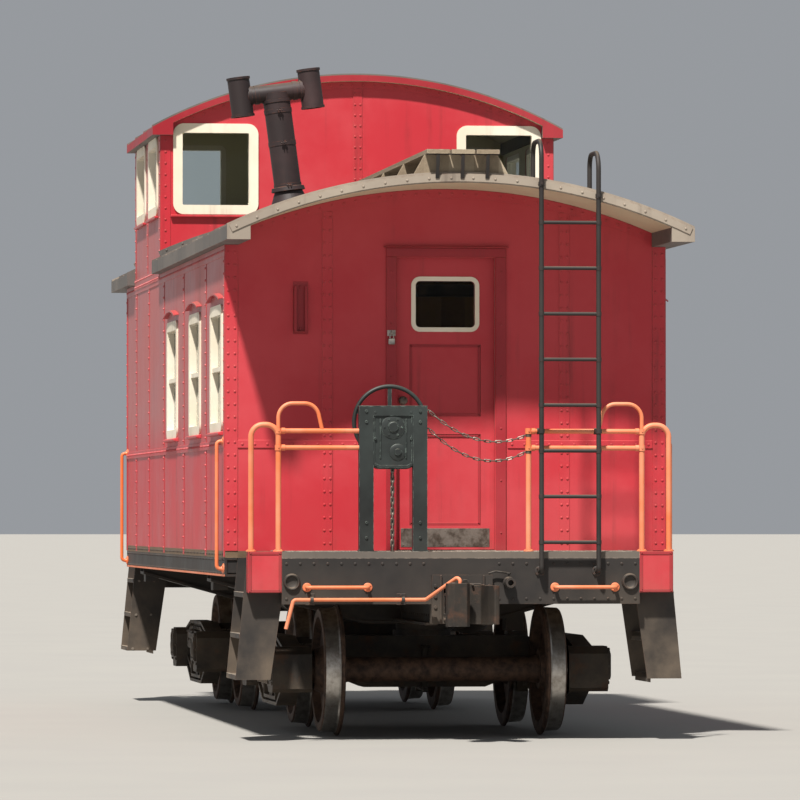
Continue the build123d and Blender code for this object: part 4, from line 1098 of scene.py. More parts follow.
def doorFurniture():
    # panel beads on both faces, kick plate, knobs, keyhole and the hinges' screws
    s = doorTrim
    doors = ("near_door", "far_door")
    beads = []
    for low, high in s["panels"]:
        z, size = floorTop + (low + high) / 2, (s["panelWidth"], high - low - 0.002)
        beads += [rim(size, s["bead"], 0.007, wallPlace("near", 0, z, leafFace - s["recess"]), 0.004)]
        beads += [rim(size, s["bead"], 0.005, wallPlace("far", 0, z, -leafInner), 0.004)]
    atBothEnds("doorBeads", beads, "trimAndShadeRed", doors)
    half, low, high = s["kickHalf"], floorTop + s["kickFoot"], floorTop + s["kickHead"]
    proud, end = leafFace + 0.002, s["kickHalf"] - 0.02
    kick = block((leafFace, -half, low), (proud, half, high), 0.0007)
    screws = [rivetRow((proud, -end, z), (proud, end, z), xAxis, 0.14, 0.5)
              for z in (low + 0.015, high - 0.015)]
    knob = [(0, 0), (0.03, 0), (0.03, 0.003), (0.026, 0.005), (0.011, 0.006), (0.010, 0.022),
            (0.017, 0.026), (0.026, 0.034), (0.027, 0.041), (0.022, 0.048), (0.012, 0.051), (0, 0.052)]
    y, z = s["knobAt"], floorTop + s["knobUp"]
    knobs = [lathe(knob, (leafFace, y, z), xAxis, 24), lathe(knob, (leafInner, y, z), (-1, 0, 0), 24)]
    metal = [kick, *knobs, keyhole(0.01, (leafFace, y, z - s["keyDrop"]), 16)] + screws
    atBothEnds("doorFurniture", metal, "boltSteel", doors)
    for name, y, bodies in (("hingeScrews", s["leafScrews"], doors),
                            ("hingeWallScrews", s["wallScrews"], ("carbody", "carbody"))):
        spots = [(leafInner - s["plate"], y + dy, floorTop + up + dz) for up in s["hinges"]
                 for dy, dz in s["screwPlaces"]]
        atBothEnds(name, boltsAt(spots, (-1, 0, 0), 0.32), "boltSteel", bodies)


endWallTrim()
doorCasing()
cardHolder()
haspAndLock()
doorFurniture()
print("ends and doors done")


# Cupola

cupola = {
    "corner": 0.075, "proud": 0.004, "seamWidth": 0.07, "beltFoot": 3.24, "beltHead": 3.33, "beltProud": 0.008,
    "flashing": 0.055, "sillFoot": 3.713, "sillHeight": 0.018, "sillReach": 0.03, "sillPast": 0.05,
    "endWindow": (1.07, 0.58), "sideWindow": (0.52, 0.72), "archWidth": 0.05,
}


def cupolaSheets():
    s = cupola
    out = xAxis
    face, skin = cupolaNear, cupolaNear + s["proud"]
    inner, seamHalf = bodySide - s["corner"], s["seamWidth"] / 2
    foot = heightOnArc(mainArc, inner, -0.01)
    parts, heads = [], []
    for hand in (-1, 1):
        low, high = sorted((hand * inner, hand * bodySide))
        y = (low + high) / 2
        parts += [block((face, low, foot), (skin, high, cupolaSoffit), sheetEdge)]
        heads += [rivetRow((skin, y, foot + 0.1), (skin, y, cupolaSoffit - 0.04), out)]
    lift = -sheet["cupolaRoof"] - s["archWidth"] - 0.002
    top = heightOnArc(cupolaArc, 0, lift)
    parts += [block((face, -seamHalf, heightOnArc(mainArc, 0)), (skin, seamHalf, top), sheetEdge)]
    for y in (-0.02, 0.02):
        heads += [rivetRow((skin, y, heightOnArc(mainArc, 0, 0.2)), (skin, y, top - 0.04), out)]
    parts += [archStrip(cupolaArc, face + s["proud"] / 2, s["proud"], s["archWidth"], bodySide - 0.1, lift)]
    heads += [rivetArc(cupolaArc, skin, bodySide - 0.14, out, lift + s["archWidth"] / 2, rivet["spacing"])]
    across, wide = s["endWindow"]
    half, top = wide / 2 + s["sillPast"], s["sillFoot"] + s["sillHeight"]
    sill = block((face, across - half, s["sillFoot"]), (face + s["sillReach"], across + half, top), castEdge)
    parts += bothSides([sill])
    finished("cupolaEndSheets", withTwins(parts + heads, cupolaMirror), "bodyRed")


def cupolaSides():
    s = cupola
    out, face = (0, -1, 0), -bodySide
    skin, belt = face - s["proud"], face - s["beltProud"]
    parts = [block((cupolaFar, belt, s["beltFoot"]), (cupolaNear, face, s["beltHead"]))]
    heads = []
    for z in (s["beltFoot"] + 0.022, s["beltHead"] - 0.022):
        heads += [rivetRow((cupolaFar + 0.04, belt, z), (cupolaNear - 0.04, belt, z), out)]
    strips = [(cupolaMiddle - s["seamWidth"] / 2, cupolaMiddle + s["seamWidth"] / 2),
              (cupolaNear - s["corner"], cupolaNear), (cupolaFar, cupolaFar + s["corner"])]
    for low, high in strips:
        x = (low + high) / 2
        parts += [block((low, skin, s["beltHead"]), (high, face, cupolaSoffit), sheetEdge)]
        heads += [rivetRow((x, skin, s["beltHead"] + 0.05), (x, skin, cupolaSoffit - 0.04), out)]
    apart, wide = s["sideWindow"]
    half, top = wide / 2 + s["sillPast"], s["sillFoot"] + s["sillHeight"]
    for x in (cupolaMiddle - apart, cupolaMiddle + apart):
        parts += [block((x - half, face - s["sillReach"], s["sillFoot"]), (x + half, face, top), castEdge)]
    onBothSides("cupolaSheets", parts + heads, "bodyRed")


def cupolaFlashing():
    # sheet turned up the cupola's end where the main roof meets it
    s = cupola
    upstand = archStrip(mainArc, cupolaNear + 0.003, 0.006, s["flashing"], bodySide - 0.005, -0.002)
    heads = rivetArc(mainArc, cupolaNear + 0.006, bodySide - 0.06, xAxis, s["flashing"] / 2 + 0.01, 0.13)
    finished("cupolaFlashing", withTwins([upstand, heads], cupolaMirror), "roofGrey")


cupolaSheets()
cupolaSides()
cupolaFlashing()
print("cupola done")


# Roofs, running boards and smoke jack

roofTrim = {"rivetSide": 0.042, "rivetSpacing": 0.12, "edgeReach": 0.006, "edgeWidth": 0.046, "edgeClear": 0.01,
            "cupolaLap": 0.006}


def ribPlaces(low, high):
    # where the roof's raised seams stand, as the model spaces them
    count = max(2, round((high - low) / sheet["ribSpacing"]) + 1)
    first, last = low + sheet["ribMargin"], high - sheet["ribMargin"]
    return [first + (last - first) * number / (count - 1) for number in range(count)]


def roofRivets():
    # a row of rivets on each side of every seam, except where the cupola stands
    s = roofTrim
    low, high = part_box("cupola_roof")
    covered = (cupolaNear - cupolaFar) / 2 + s["cupolaLap"]
    mainPlaces = ribPlaces(cupolaNear, roofEnd) + ribPlaces(-roofEnd, cupolaFar)
    for name, arc, places, start, end in (
            ("roofRivets", mainArc, mainPlaces, -roofEnd, roofEnd),
            ("cupolaRoofRivets", cupolaArc, ribPlaces(low.x, high.x), low.x, high.x)):
        rows = []
        model = rivetArc(arc, 0, roofSide - 0.03, zAxis, 0, s["rivetSpacing"])
        for x in [place + side for place in places for side in (-s["rivetSide"], s["rivetSide"])]:
            hidden = arc is mainArc and abs(x - cupolaMiddle) < covered
            if start + s["edgeClear"] < x < end - s["edgeClear"] and not hidden:
                rows += [movedCopy(model, x, 0, 0)]
        bpy.data.objects.remove(model)
        finished(name, rows, "roofGrey")


def roofEdges():
    # a flat bar riveted along each end of the main roof, in the lighter tan of a painted highlight
    s = roofTrim
    x = roofEnd + s["edgeReach"] / 2
    bar = archStrip(mainArc, x, s["edgeReach"], s["edgeWidth"], roofSide - 0.012, -s["edgeWidth"] - 0.006)
    lift = -s["edgeWidth"] / 2 - 0.006
    heads = rivetArc(mainArc, roofEnd + s["edgeReach"], roofSide - 0.05, xAxis, lift, 0.15)
    atBothEnds("roofEdge", [bar, heads], "edgeHighlightTan")


walk = {"pitch": 0.165, "thickness": 0.028, "saddleInset": 0.12, "saddleSpacing": 1.1, "boltApart": 0.045,
        "saddleClear": 0.09, "bracket": 0.024}


def runningBoardFittings():
    # bolts over the saddles, and the angles that carry the boards' ends past the roof
    s = walk
    low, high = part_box("running_boards")
    spots = []
    for start, end in ((low.x, cupolaFar - s["saddleClear"]), (cupolaNear + s["saddleClear"], high.x)):
        count = max(2, round((end - start) / s["saddleSpacing"]) + 1)
        first, last = start + s["saddleInset"], end - s["saddleInset"]
        for number in range(count):
            x = first + (last - first) * number / (count - 1)
            for y in (-s["pitch"], 0, s["pitch"]):
                spots += [(x, y - s["boltApart"], high.z), (x, y + s["boltApart"], high.z)]
    first = lathe([(0.014, -0.002), (0.013, 0.002), (0.008, 0.0045), (0, 0.0055)], spots[0], zAxis, 10)
    heads = [first] + [movedCopy(first, *(Vector(p) - Vector(spots[0]))) for p in spots[1:]]
    finished("walkBolts", heads, "boltSteel")
    foot, under = heightOnArc(mainArc, s["pitch"], -0.03), high.z - s["thickness"]
    back, edge = roofEnd - 0.05, high.x - 0.004
    outline = [(roofEnd, foot), (roofEnd + 0.012, foot), (edge, under - 0.006), (edge, under), (back, under),
               (back, under - 0.006), (high.x - 0.016, under - 0.006), (roofEnd + 0.002, foot + 0.02)]
    upright = Matrix.Translation((0, s["bracket"] / 2, 0)) @ Matrix.Rotation(math.pi / 2, 4, "X")
    bracket = plate(outline, s["bracket"], upright, 0.0015)
    parts = [movedCopy(bracket, 0, y, 0) for y in (-s["pitch"], 0, s["pitch"])]
    bpy.data.objects.remove(bracket)
    half = 1.5 * s["pitch"] - 0.01
    parts += [block((high.x - 0.05, -half, under - 0.006), (edge, half, under), thinEdge)]
    atBothEnds("walkEndBrackets", parts, "frameBlack")


jack = {"at": (1.725, -0.8), "lean": 7.5, "pipe": 0.095, "reach": 0.83, "arm": 0.062, "armReach": 0.25,
        "cowl": 0.078, "cowlHalf": 0.14, "bands": (0.17, 0.47, 0.70), "coneTop": 0.14, "rivets": 8,
        "rivetRing": 0.185}


def smokeJackFittings():
    # clamped bands and collars of the leaning jack, drawn upright and then leaned
    s = jack
    up, pipe, reach = zAxis, s["pipe"], s["reach"]
    foot = Vector((*s["at"], heightOnArc(mainArc, s["at"][1])))
    parts = []
    for z in s["bands"]:
        parts += [band((0, 0, z), up, pipe, pipe + 0.004, 0.03)]
        for y in (-0.012, 0.006):
            parts += [block((pipe - 0.002, y, z - 0.015), (pipe + 0.03, y + 0.006, z + 0.015), thinEdge)]
        parts += [barrel((pipe + 0.018, -0.02, z), (pipe + 0.018, 0.02, z), 0.006, 8, 0.001)]
    collar = [(pipe, 0.03), (pipe + 0.02, 0.026), (pipe + 0.026, 0), (pipe + 0.02, -0.004), (pipe, 0),
              (pipe, 0.03)]
    parts += [lathe(collar, (0, 0, s["coneTop"] - 0.005))]
    for hand in (-1, 1):
        for half in (-1, 1):
            lip = (0, hand * s["armReach"], reach + half * (s["cowlHalf"] - 0.008))
            parts += [band(lip, up, s["cowl"] - 0.004, s["cowl"] + 0.006, 0.016)]
        for y, proud, width in ((0.135, 0.005, 0.03), (s["armReach"] - s["cowl"] + 0.01, 0.01, 0.02)):
            parts += [band((0, hand * y, reach), yAxis, s["arm"], s["arm"] + proud, width)]
    parts += [band((0, 0, reach - s["arm"] + 0.004), up, pipe - 0.02, pipe + 0.006, 0.02)]
    place = Matrix.Translation(foot) @ Matrix.Rotation(math.radians(s["lean"]), 4, "X")
    for piece in parts:
        piece.data.transform(place)
    for x, y in circlePlaces(s["rivets"], s["rivetRing"], math.pi / 8):
        y += foot.y
        parts += [rivetHead((foot.x + x, y, heightOnArc(mainArc, y)), (0, y / mainArc[1], 1), 1.1)]
    finished("smokeJackFittings", parts, "jackBlack")


roofRivets()
roofEdges()
runningBoardFittings()
smokeJackFittings()
print("roofs done")


# Railings, ladders and hand brakes

rails = {
    "x": deckEnd - 0.035, "hoops": (1.385, 1.205), "post": 0.45, "heights": (2.0354, 1.9254), "rail": 0.016,
    "foot": (0.034, 0.0255), "chains": ((2.165, 2.0), (2.045, 1.89)), "chainFrom": -0.225, "hook": 0.018,
    "sag": (0.1, 0.115), "link": (0.026, 0.0042), "links": 17,
}


def railingFeet():
    # bolted feet of the posts, and the sleeves where rails and posts meet
    s = rails
    x, rail, (outer, inner) = s["x"], s["rail"], s["hoops"]
    posts = (inner, -inner, s["post"])
    parts = []
    for y in (*posts, -outer, outer):
        parts += footFlange((x, y, floorTop), zAxis, *s["foot"])
    for z in s["heights"]:
        for y in posts:
            beside = y - 0.032 if y > s["post"] else y + 0.032
            parts += [band((x, y, z), zAxis, 0.0178, 0.023, 0.036, 16)]
            parts += [band((x, beside, z), yAxis, rail - 0.0002, 0.0205, 0.024, 16)]
            parts += [boltHead((x + 0.022, y, z), xAxis, 0.4)]
    atBothEnds("railingFittings", parts, "railOrange")


def chainLink(size, wire):
    # one oval link, standing in its own x and z
    half = wire * 1.6
    corners = [(-size, 0, -half), (size, 0, -half), (size, 0, half), (-size, 0, half)]
    return ringBar(corners, wire, wire * 1.55, 3)


def linkTurn(number):
    # every second link of a chain stands across the others
    return Matrix.Rotation(math.pi / 2 * (number % 2), 4, "X")


def gateChains():
    # two chains across the way to the next car, hooked on the brake stand and the gate post
    s = rails
    x, rail, (size, wire) = s["x"], s["rail"], s["link"]
    start, end = s["chainFrom"] + s["hook"], s["post"] - rail - s["hook"]
    model = chainLink(size * 0.86, wire)
    parts = []
    for (high, low), sag in zip(s["chains"], s["sag"]):
        hang = []
        for t in [number / s["links"] for number in range(s["links"] + 1)]:
            z = high + (low - high) * t - 4 * sag * t * (1 - t)
            hang.append(Vector((x, start + (end - start) * t, z)))
        for number, (here, there) in enumerate(zip(hang, hang[1:])):
            turn = (there - here).to_track_quat("X", "Z").to_matrix().to_4x4()
            parts += [copyOf(model, Matrix.Translation((here + there) / 2) @ turn @ linkTurn(number))]
        for y, z, root in ((start, high, s["chainFrom"]), (end, low, s["post"] - rail * 0.9)):
            parts += [bentBar([(x, root, z + 0.008), (x, y, z + 0.008), (x, y, z - 0.008)], 0.005, 0.006)]
        parts += [band((x, s["post"], low + 0.008), zAxis, rail - 0.0002, rail + 0.004, 0.018, 16)]
    bpy.data.objects.remove(model)
    atBothEnds("gateChains", parts, "boltSteel")


ladder = {"stiles": (0.52, 0.90), "foot": 1.1154, "out": 0.075, "rung": 0.3, "rungs": 8, "firstRung": 0.06,
          "bar": 0.016, "roofLift": -0.03, "landing": 0.33}


def ladderFittings():
    # clamps that tie the ladder to the railing and the roof's edge, its bolted feet, and sleeves at the rungs
    s = ladder
    x, bar, railUp, flange = deckEnd + s["out"], s["bar"], rails["heights"][0], rails["foot"]
    up = zAxis
    parts = []
    for y in s["stiles"]:
        edge = heightOnArc(mainArc, y, s["roofLift"])
        for z, back in ((railUp, rails["x"]), (edge, roofEnd)):
            parts += [chunk(((back + x) / 2, y, z), (x - back, 0.03, 0.012), barEdge)]
            parts += [band((x, y, z), up, bar - 0.0002, bar + 0.005, 0.03, 16)]
        parts += [band((rails["x"], y, railUp), yAxis, bar, bar + 0.005, 0.03, 16)]
        parts += footFlange((deckEnd, y, s["foot"]), xAxis, *flange)
        parts += [boltHead((x + bar + 0.004, y, edge), xAxis, 0.5)]
        tilt = Vector((0, y / mainArc[1], 1)).normalized()
        parts += footFlange((roofEnd - s["landing"], y, heightOnArc(mainArc, y)), tilt, *flange)
    atBothEnds("ladderFittings", parts, "frameBlack")
    rungs = [floorTop + s["firstRung"] + number * s["rung"] for number in range(s["rungs"])]
    sleeves = [band((x, y, z), up, bar - 0.0002, bar + 0.003, 0.026, 16) for z in rungs for y in s["stiles"]]
    atBothEnds("ladderSleeves", sleeves, "frameBlack")


brake = {
    "middle": -0.45, "posts": ((-0.675, -0.58), (-0.32, -0.225)), "front": deckEnd - 0.015,
    "case": (0.29, 0.40), "caseUp": 1.9854, "top": 2.1954, "wheelX": 4.49, "wheelUp": 2.0954,
    "gears": ((0, 0.075, 1.0, 28), (0.03, -0.09, 0.7, 24)), "gearBolts": 0.058, "caseBolts": (0.118, 0.172),
    "link": (0.024, 0.0055), "linkPitch": 0.034, "chainIn": 0.042,
}


def handBrake():
    # the case's rim, gears and bolts, the posts' feet and cap, the wheel's hub and the release lever
    s = brake
    out = xAxis
    x, y, z, top = s["front"], s["middle"], s["caseUp"], s["top"]
    wide, tall = s["case"]
    parts = [rim((wide - 0.016, tall - 0.016), 0.018, 0.005, wallPlace("near", y, z, x), 0.05)]
    boss = [(0, 0.016), (0.03, 0.016), (0.034, 0.013), (0.036, 0.007), (0.07, 0.006), (0.078, 0.003),
            (0.08, 0), (0, 0)]
    for dy, dz, size, steps in s["gears"]:
        parts += [lathe([(r * size, a) for r, a in boss], (x, y + dy, z + dz), out, steps)]
    for side in (y - 0.085, y + 0.085):
        parts += [chunk((x + 0.004, side, z), (0.008, 0.01, 0.26))]
    apart, above = s["caseBolts"]
    corners = [(x + 0.005, y + dy * apart, z + dz * above) for dy in (-1, 1) for dz in (-1, 0, 1)]
    gearUp = z + s["gears"][0][1]
    ring = [(x + 0.006, y + dy, gearUp + dz) for dy, dz in circlePlaces(6, s["gearBolts"])]
    parts += boltsAt(corners, out, 0.65) + boltsAt(ring, out, 0.42)
    for left, right in s["posts"]:
        y0, y1 = left - 0.004, right + 0.004
        parts += [block((x - 0.075, y0, floorTop), (x + 0.008, y1, floorTop + 0.01), barEdge)]
        heights = (floorTop + 0.09, floorTop + 0.19, top - 0.1, top - 0.03)
        parts += boltsAt([(x + 0.01, (left + right) / 2, up) for up in heights], out, 0.7)
    first, last = s["posts"][0][0] - 0.003, s["posts"][1][1] + 0.003
    parts += [block((x - 0.06, first, top - 0.001), (x + 0.003, last, top + 0.006), barEdge)]
    hub = [(0, -0.012), (0.014, -0.012), (0.014, -0.004), (0.03, -0.002), (0.04, 0.004), (0.044, 0.012),
           (0.044, 0.026), (0, 0.026)]
    parts += [lathe(hub, (s["wheelX"] - 0.014, y, s["wheelUp"]), out, 24)]
    lever = [(0, 0), (0.02, -0.004), (0.15, 0.05), (0.165, 0.075), (0.15, 0.083), (0.13, 0.066), (0, 0.022),
             (-0.012, 0.01)]
    parts += [plate(lever, 0.01, wallPlace("near", y - 0.02, z + 0.12, x - 0.115), 0.002)]
    atBothEnds("handBrakeCase", parts, "brakeBlack")


def handBrakeChain():
    # from the case straight down through the deck
    s = brake
    model = chainLink(*s["link"])
    head = s["caseUp"] - s["case"][1] / 2 + 0.02
    count = round((head - floorTop) / s["linkPitch"])
    drop = (head - floorTop) / count
    upright = Matrix.Rotation(-math.pi / 2, 4, "Y")
    links = []
    for number in range(count):
        place = (s["front"] - s["chainIn"], s["middle"], floorTop + (number + 0.5) * drop)
        links += [copyOf(model, Matrix.Translation(place) @ upright @ linkTurn(number))]
    bpy.data.objects.remove(model)
    atBothEnds("handBrakeChain", links, "boltSteel")


railingFeet()
gateChains()
ladderFittings()
handBrake()
handBrakeChain()
print("platform fittings done")


# Deck, steps and end sill

lug = {"pitch": 0.042, "long": 0.015, "wide": 0.006, "height": 0.0026, "sunk": 0.0004, "top": (0.55, 0.4, 1)}


def luggedField(low, high, z, border=0.02):
    # a field of raised diamonds, every second one turned across
    s = lug
    pitch = s["pitch"]
    shape = [(-s["long"], 0), (0, -s["wide"]), (s["long"], 0), (0, s["wide"])]
    diamond = plate(shape, s["height"], Matrix.Translation((0, 0, z - s["sunk"])))
    chooseFaces(diamond, lambda centre, normal: normal.z > 0.9)
    bpy.ops.transform.resize(value=s["top"])
    bpy.ops.mesh.select_mode(type="VERT")
    leaveEdit()
    crossed = copyOf(diamond, Matrix.Rotation(math.pi / 2, 4, "Z"))
    along, across = [int((high[n] - low[n] - 2 * border) / pitch) for n in (0, 1)]
    for piece, shift in ((diamond, 0.008), (crossed, 0.008 + pitch / 2)):
        piece.data.transform(Matrix.Translation((low[0] + border + shift, low[1] + border + shift, 0)))
        arrayed(piece, (pitch, 0, 0), along)
        arrayed(piece, (0, pitch, 0), across)
    return [diamond, crossed]


stair = {"from": 4.002, "to": 4.588, "depth": 0.21, "treads": ((0.9754, 1.43), (0.7054, 1.455), (0.4354, 1.48)),
         "nose": 0.02, "panelFrom": 1.185}


def deckAndSteps():
    # lugs on the deck and the treads, the treads' nosings, back strips and bolts
    s = stair
    deck = luggedField((bodyEnd + 0.08, -deckSide), (deckEnd, deckSide), floorTop)
    edge = block((bodyEnd + 0.05, deckSide - 0.03, floorTop),
                 (deckEnd - 0.1, deckSide, floorTop + 0.004), 0.0015)
    atBothEnds("deckLugs", deck + bothSides([edge]), "deckGrey")
    x0, x1 = s["from"], s["to"]
    parts = []
    for top, outer in s["treads"]:
        inner, nose = outer - s["depth"], outer - s["nose"]
        parts += luggedField((x0 + 0.01, inner + 0.01), (x1 - 0.01, nose), top, 0.008)
        parts += [block((x0, nose, top - 0.002), (x1, outer + 0.001, top + 0.003), 0.0014)]
        middle = outer - s["depth"] / 2
        parts += boltsAt([(x0 - 0.012, middle + dy, top - 0.015) for dy in (-0.06, 0.06)], (-1, 0, 0), 0.7)
        parts += [block((x0, inner, top - 0.055), (x1, inner + 0.005, top - 0.029), thinEdge)]
    atBothEnds("stepTreads", bothSides(parts), "deckGrey")


panelTrim = {"edge": 0.018, "proud": 0.004, "depth": 0.09, "corner": 0.006, "boltIn": 0.012}


def cornerPanels():
    # borders and bolts of the painted boxes at the deck's corners
    s = panelTrim
    low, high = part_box("step_panels")
    wide, tall = high.y - stair["panelFrom"], high.z - low.z
    y, z = (high.y + stair["panelFrom"]) / 2, low.z + tall / 2
    parts = []
    for across, place in ((wide - 0.006, wallPlace("near", y, z, deckEnd)),
                          (s["depth"] - 0.004, wallPlace("right", deckEnd - s["depth"] / 2, z, high.y))):
        parts += [rim((across, tall - 0.006), s["edge"], s["proud"], place, s["corner"])]
    dy, dz = wide / 2 - s["boltIn"], tall / 2 - s["boltIn"]
    spots = [(deckEnd + s["proud"], y + side * dy, z + end * dz) for side in (-1, 1) for end in (-1, 1)]
    parts += boltsAt(spots, xAxis, 0.42)
    atBothEnds("cornerPanelTrim", bothSides(parts), "trimAndShadeRed")


endBeam = {
    "half": 1.185, "rows": (0.935, 1.165), "poling": (1.12, 1.045), "striker": 0.2, "strikerFace": 0.04,
    "strikerBolts": (0.178, (0.81, 0.88, 0.95, 1.02)), "throat": (0.125, 0.819, 1.0114), "strikerFoot": 0.7714,
    "strikerHead": 1.0914, "leverPosts": (-1.0, -0.4), "leverUp": 0.9304, "leverOut": 0.105,
    "pipe": (0.31, 1.0404), "grabs": (0.62, 1.02), "grabUp": 1.0104,
}


def endSillFittings():
    # rivets, poling pockets, the striker's ribs and bolts, lever brackets and the grab irons' feet
    s = endBeam
    out, x = xAxis, deckEnd
    parts = []
    for z in s["rows"]:
        for hand in (-1, 1):
            start, end = (x, hand * (s["striker"] + 0.05), z), (x, hand * (s["half"] - 0.03), z)
            parts += [rivetRow(start, end, out, 0.09, 1.1)]
    cup = [(0, 0.002), (0.024, 0.003), (0.034, 0.008), (0.041, 0.02), (0.047, 0.022), (0.053, 0.016),
           (0.057, 0), (0, 0)]
    y, z = s["poling"]
    parts += [lathe(cup, (x, hand * y, z), out, 28) for hand in (1, -1)]
    front = x + s["strikerFace"]
    half, low, high = s["throat"]
    boltY, boltHeights = s["strikerBolts"]
    for hand in (-1, 1):
        y0, y1 = sorted((hand * (half + 0.01), hand * (half + 0.024)))
        parts += [block((x, y0, s["strikerFoot"]), (front + 0.012, y1, s["strikerHead"]), castEdge)]
        parts += boltsAt([(front, hand * boltY, z) for z in boltHeights], out, 0.8)
    for z0, z1 in ((high + 0.012, high + 0.026), (low - 0.028, low - 0.012)):
        parts += [block((x, -half, z0), (front + 0.014, half, z1), castEdge)]
    z = s["leverUp"]
    for y in s["leverPosts"]:
        parts += [block((x, y - 0.03, z - 0.035), (x + 0.008, y + 0.03, z + 0.04), barEdge)]
        parts += boltsAt([(x + 0.008, y, z + dz) for dz in (-0.024, 0.028)], out, 0.55)
        parts += [band((x + s["leverOut"], y, z), yAxis, 0.0127, 0.02, 0.022, 16)]
    atBothEnds("endSillFittings", parts, "frameBlack")
    feet = []
    for y in s["grabs"]:
        for hand in (-1, 1):
            feet += footFlange((x, hand * y, s["grabUp"]), out, 0.03, 0.021, 2)
    atBothEnds("endGrabFeet", feet, "railOrange")


def angleCock():
    # handle, nut and collars of the cock at the train pipe's end
    y, z = endBeam["pipe"]
    x = deckEnd + 0.03
    handle = bentBar([(x, y, z + 0.03), (x, y, z + 0.062), (x, y - 0.09, z + 0.075), (x, y - 0.135, z + 0.06)],
                     0.0065, 0.012)
    nut = boltHead((x, y, z + 0.056), zAxis, 0.9)
    collars = [band((deckEnd + 0.075, y, z), xAxis, 0.03, 0.037, 0.014, 8),
               band((deckEnd + 0.012, y, z), xAxis, 0.02, 0.034, 0.02, 6)]
    atBothEnds("angleCock", [handle, nut] + collars, "truckIron")


couplerTrim = {"face": 5.25, "up": 0.9014, "half": 0.125, "pinAt": (-0.095, -0.11),
               "ribs": (-0.075, 0.02, 0.09)}


def couplerFittings():
    # knuckle pin, lock lift, chafing ribs and the draft key's ends
    s = couplerTrim
    x, up, top = s["face"] - 0.045, s["up"], s["up"] + s["half"]
    pinX, pinY = x + s["pinAt"][0], s["pinAt"][1]
    head = [(0, 0.02), (0.022, 0.02), (0.027, 0.014), (0.027, 0), (0.036, -0.002), (0, -0.002)]
    nut = [(0, 0.016), (0.02, 0.016), (0.024, 0.01), (0.024, -0.002), (0, -0.002)]
    parts = [lathe(head, (pinX, pinY, top), zAxis, 20),
             lathe(nut, (pinX, pinY, up - s["half"]), (0, 0, -1), 16)]
    lift = [(-0.03, 0), (0.03, 0), (0.022, 0.03), (0.01, 0.04), (-0.01, 0.04), (-0.022, 0.03)]
    parts += [plate(lift, 0.02, wallPlace("near", -0.02, top, x - 0.2), 0.003)]
    for y in s["ribs"]:
        parts += [chunk((x - 0.21, y, top + 0.003), (0.18, 0.014, 0.01))]
    for z in (up - 0.06, up + 0.06):
        parts += [chunk((x - 0.145, 0.1545, z), (0.17, 0.039, 0.016), castEdge)]
    parts += [rim((0.12, 0.15), 0.018, 0.006, wallPlace("left", x - 0.175, up, 0.15), 0.02)]
    atBothEnds("couplerFittings", parts, "truckIron")


deckAndSteps()
cornerPanels()
endSillFittings()
angleCock()
couplerFittings()
print("decks, steps and couplers done")


# Trucks

truck = {
    "axle": 0.85, "axleUp": 0.4444, "frameOut": 1.0556, "pocket": 0.038, "lidOut": 1.1576, "lidFoot": 0.3744,
    "lidHead": 0.5644, "lidHalf": 0.115, "boxFace": 1.1396, "column": 0.3775, "columnBolts": (0.37, 0.45, 0.53),
    "beam": 0.336, "beamUp": 0.3844, "shoe": 0.7645, "bolsterEnd": 1.0956, "bolsterFoot": 0.4554,
    "bolsterHead": 0.5884, "bolsterHalf": 0.15, "line": 0.9906, "seat": 0.2504, "springHalf": 0.058,
    "leverAt": 0.185, "leverFoot": 0.27, "leverHead": 0.585, "rodUp": 0.289,
}


def journalLids():
    # ribbed lid, bulge, hinge and latch of each journal box, and its bolts
    s = truck
    wide, tall = 2 * s["lidHalf"], s["lidHead"] - s["lidFoot"]
    middle, lid = (s["lidFoot"] + s["lidHead"]) / 2, s["lidOut"]
    y, z = lid - 0.009, s["lidHead"] + 0.01  # the hinge pin
    bulge = [(0, 0.016), (0.03, 0.015), (0.05, 0.011), (0.062, 0), (0, 0)]
    latch = [(-0.012, 0), (0.012, 0), (0.016, 0.05), (0, 0.062), (-0.016, 0.05)]
    parts = []
    for x in (-s["axle"], s["axle"]):
        parts += [rim((wide - 0.012, tall - 0.012), 0.016, 0.006, wallPlace("right", x, middle, lid), 0.03)]
        parts += [lathe(bulge, (x, lid, middle - 0.01), yAxis, 24)]
        parts += [barrel((x - 0.07, y, z), (x + 0.07, y, z), 0.012, 16, 0.002)]
        for eye in (x - 0.085, x + 0.085):
            parts += [chunk((eye, y - 0.005, z - 0.002), (0.028, 0.03, 0.032), castEdge)]
        parts += [plate(latch, 0.007, wallPlace("right", x, s["lidFoot"] - 0.022, lid), 0.002)]
        spots = [(x + dx, s["boxFace"], s["axleUp"] + dz) for dz in (-0.09, 0.02) for dx in (-0.128, 0.128)]
        parts += boltsAt(spots, yAxis, 0.8)
    underTrucks("journalLids", bothSides(parts), "truckIron")


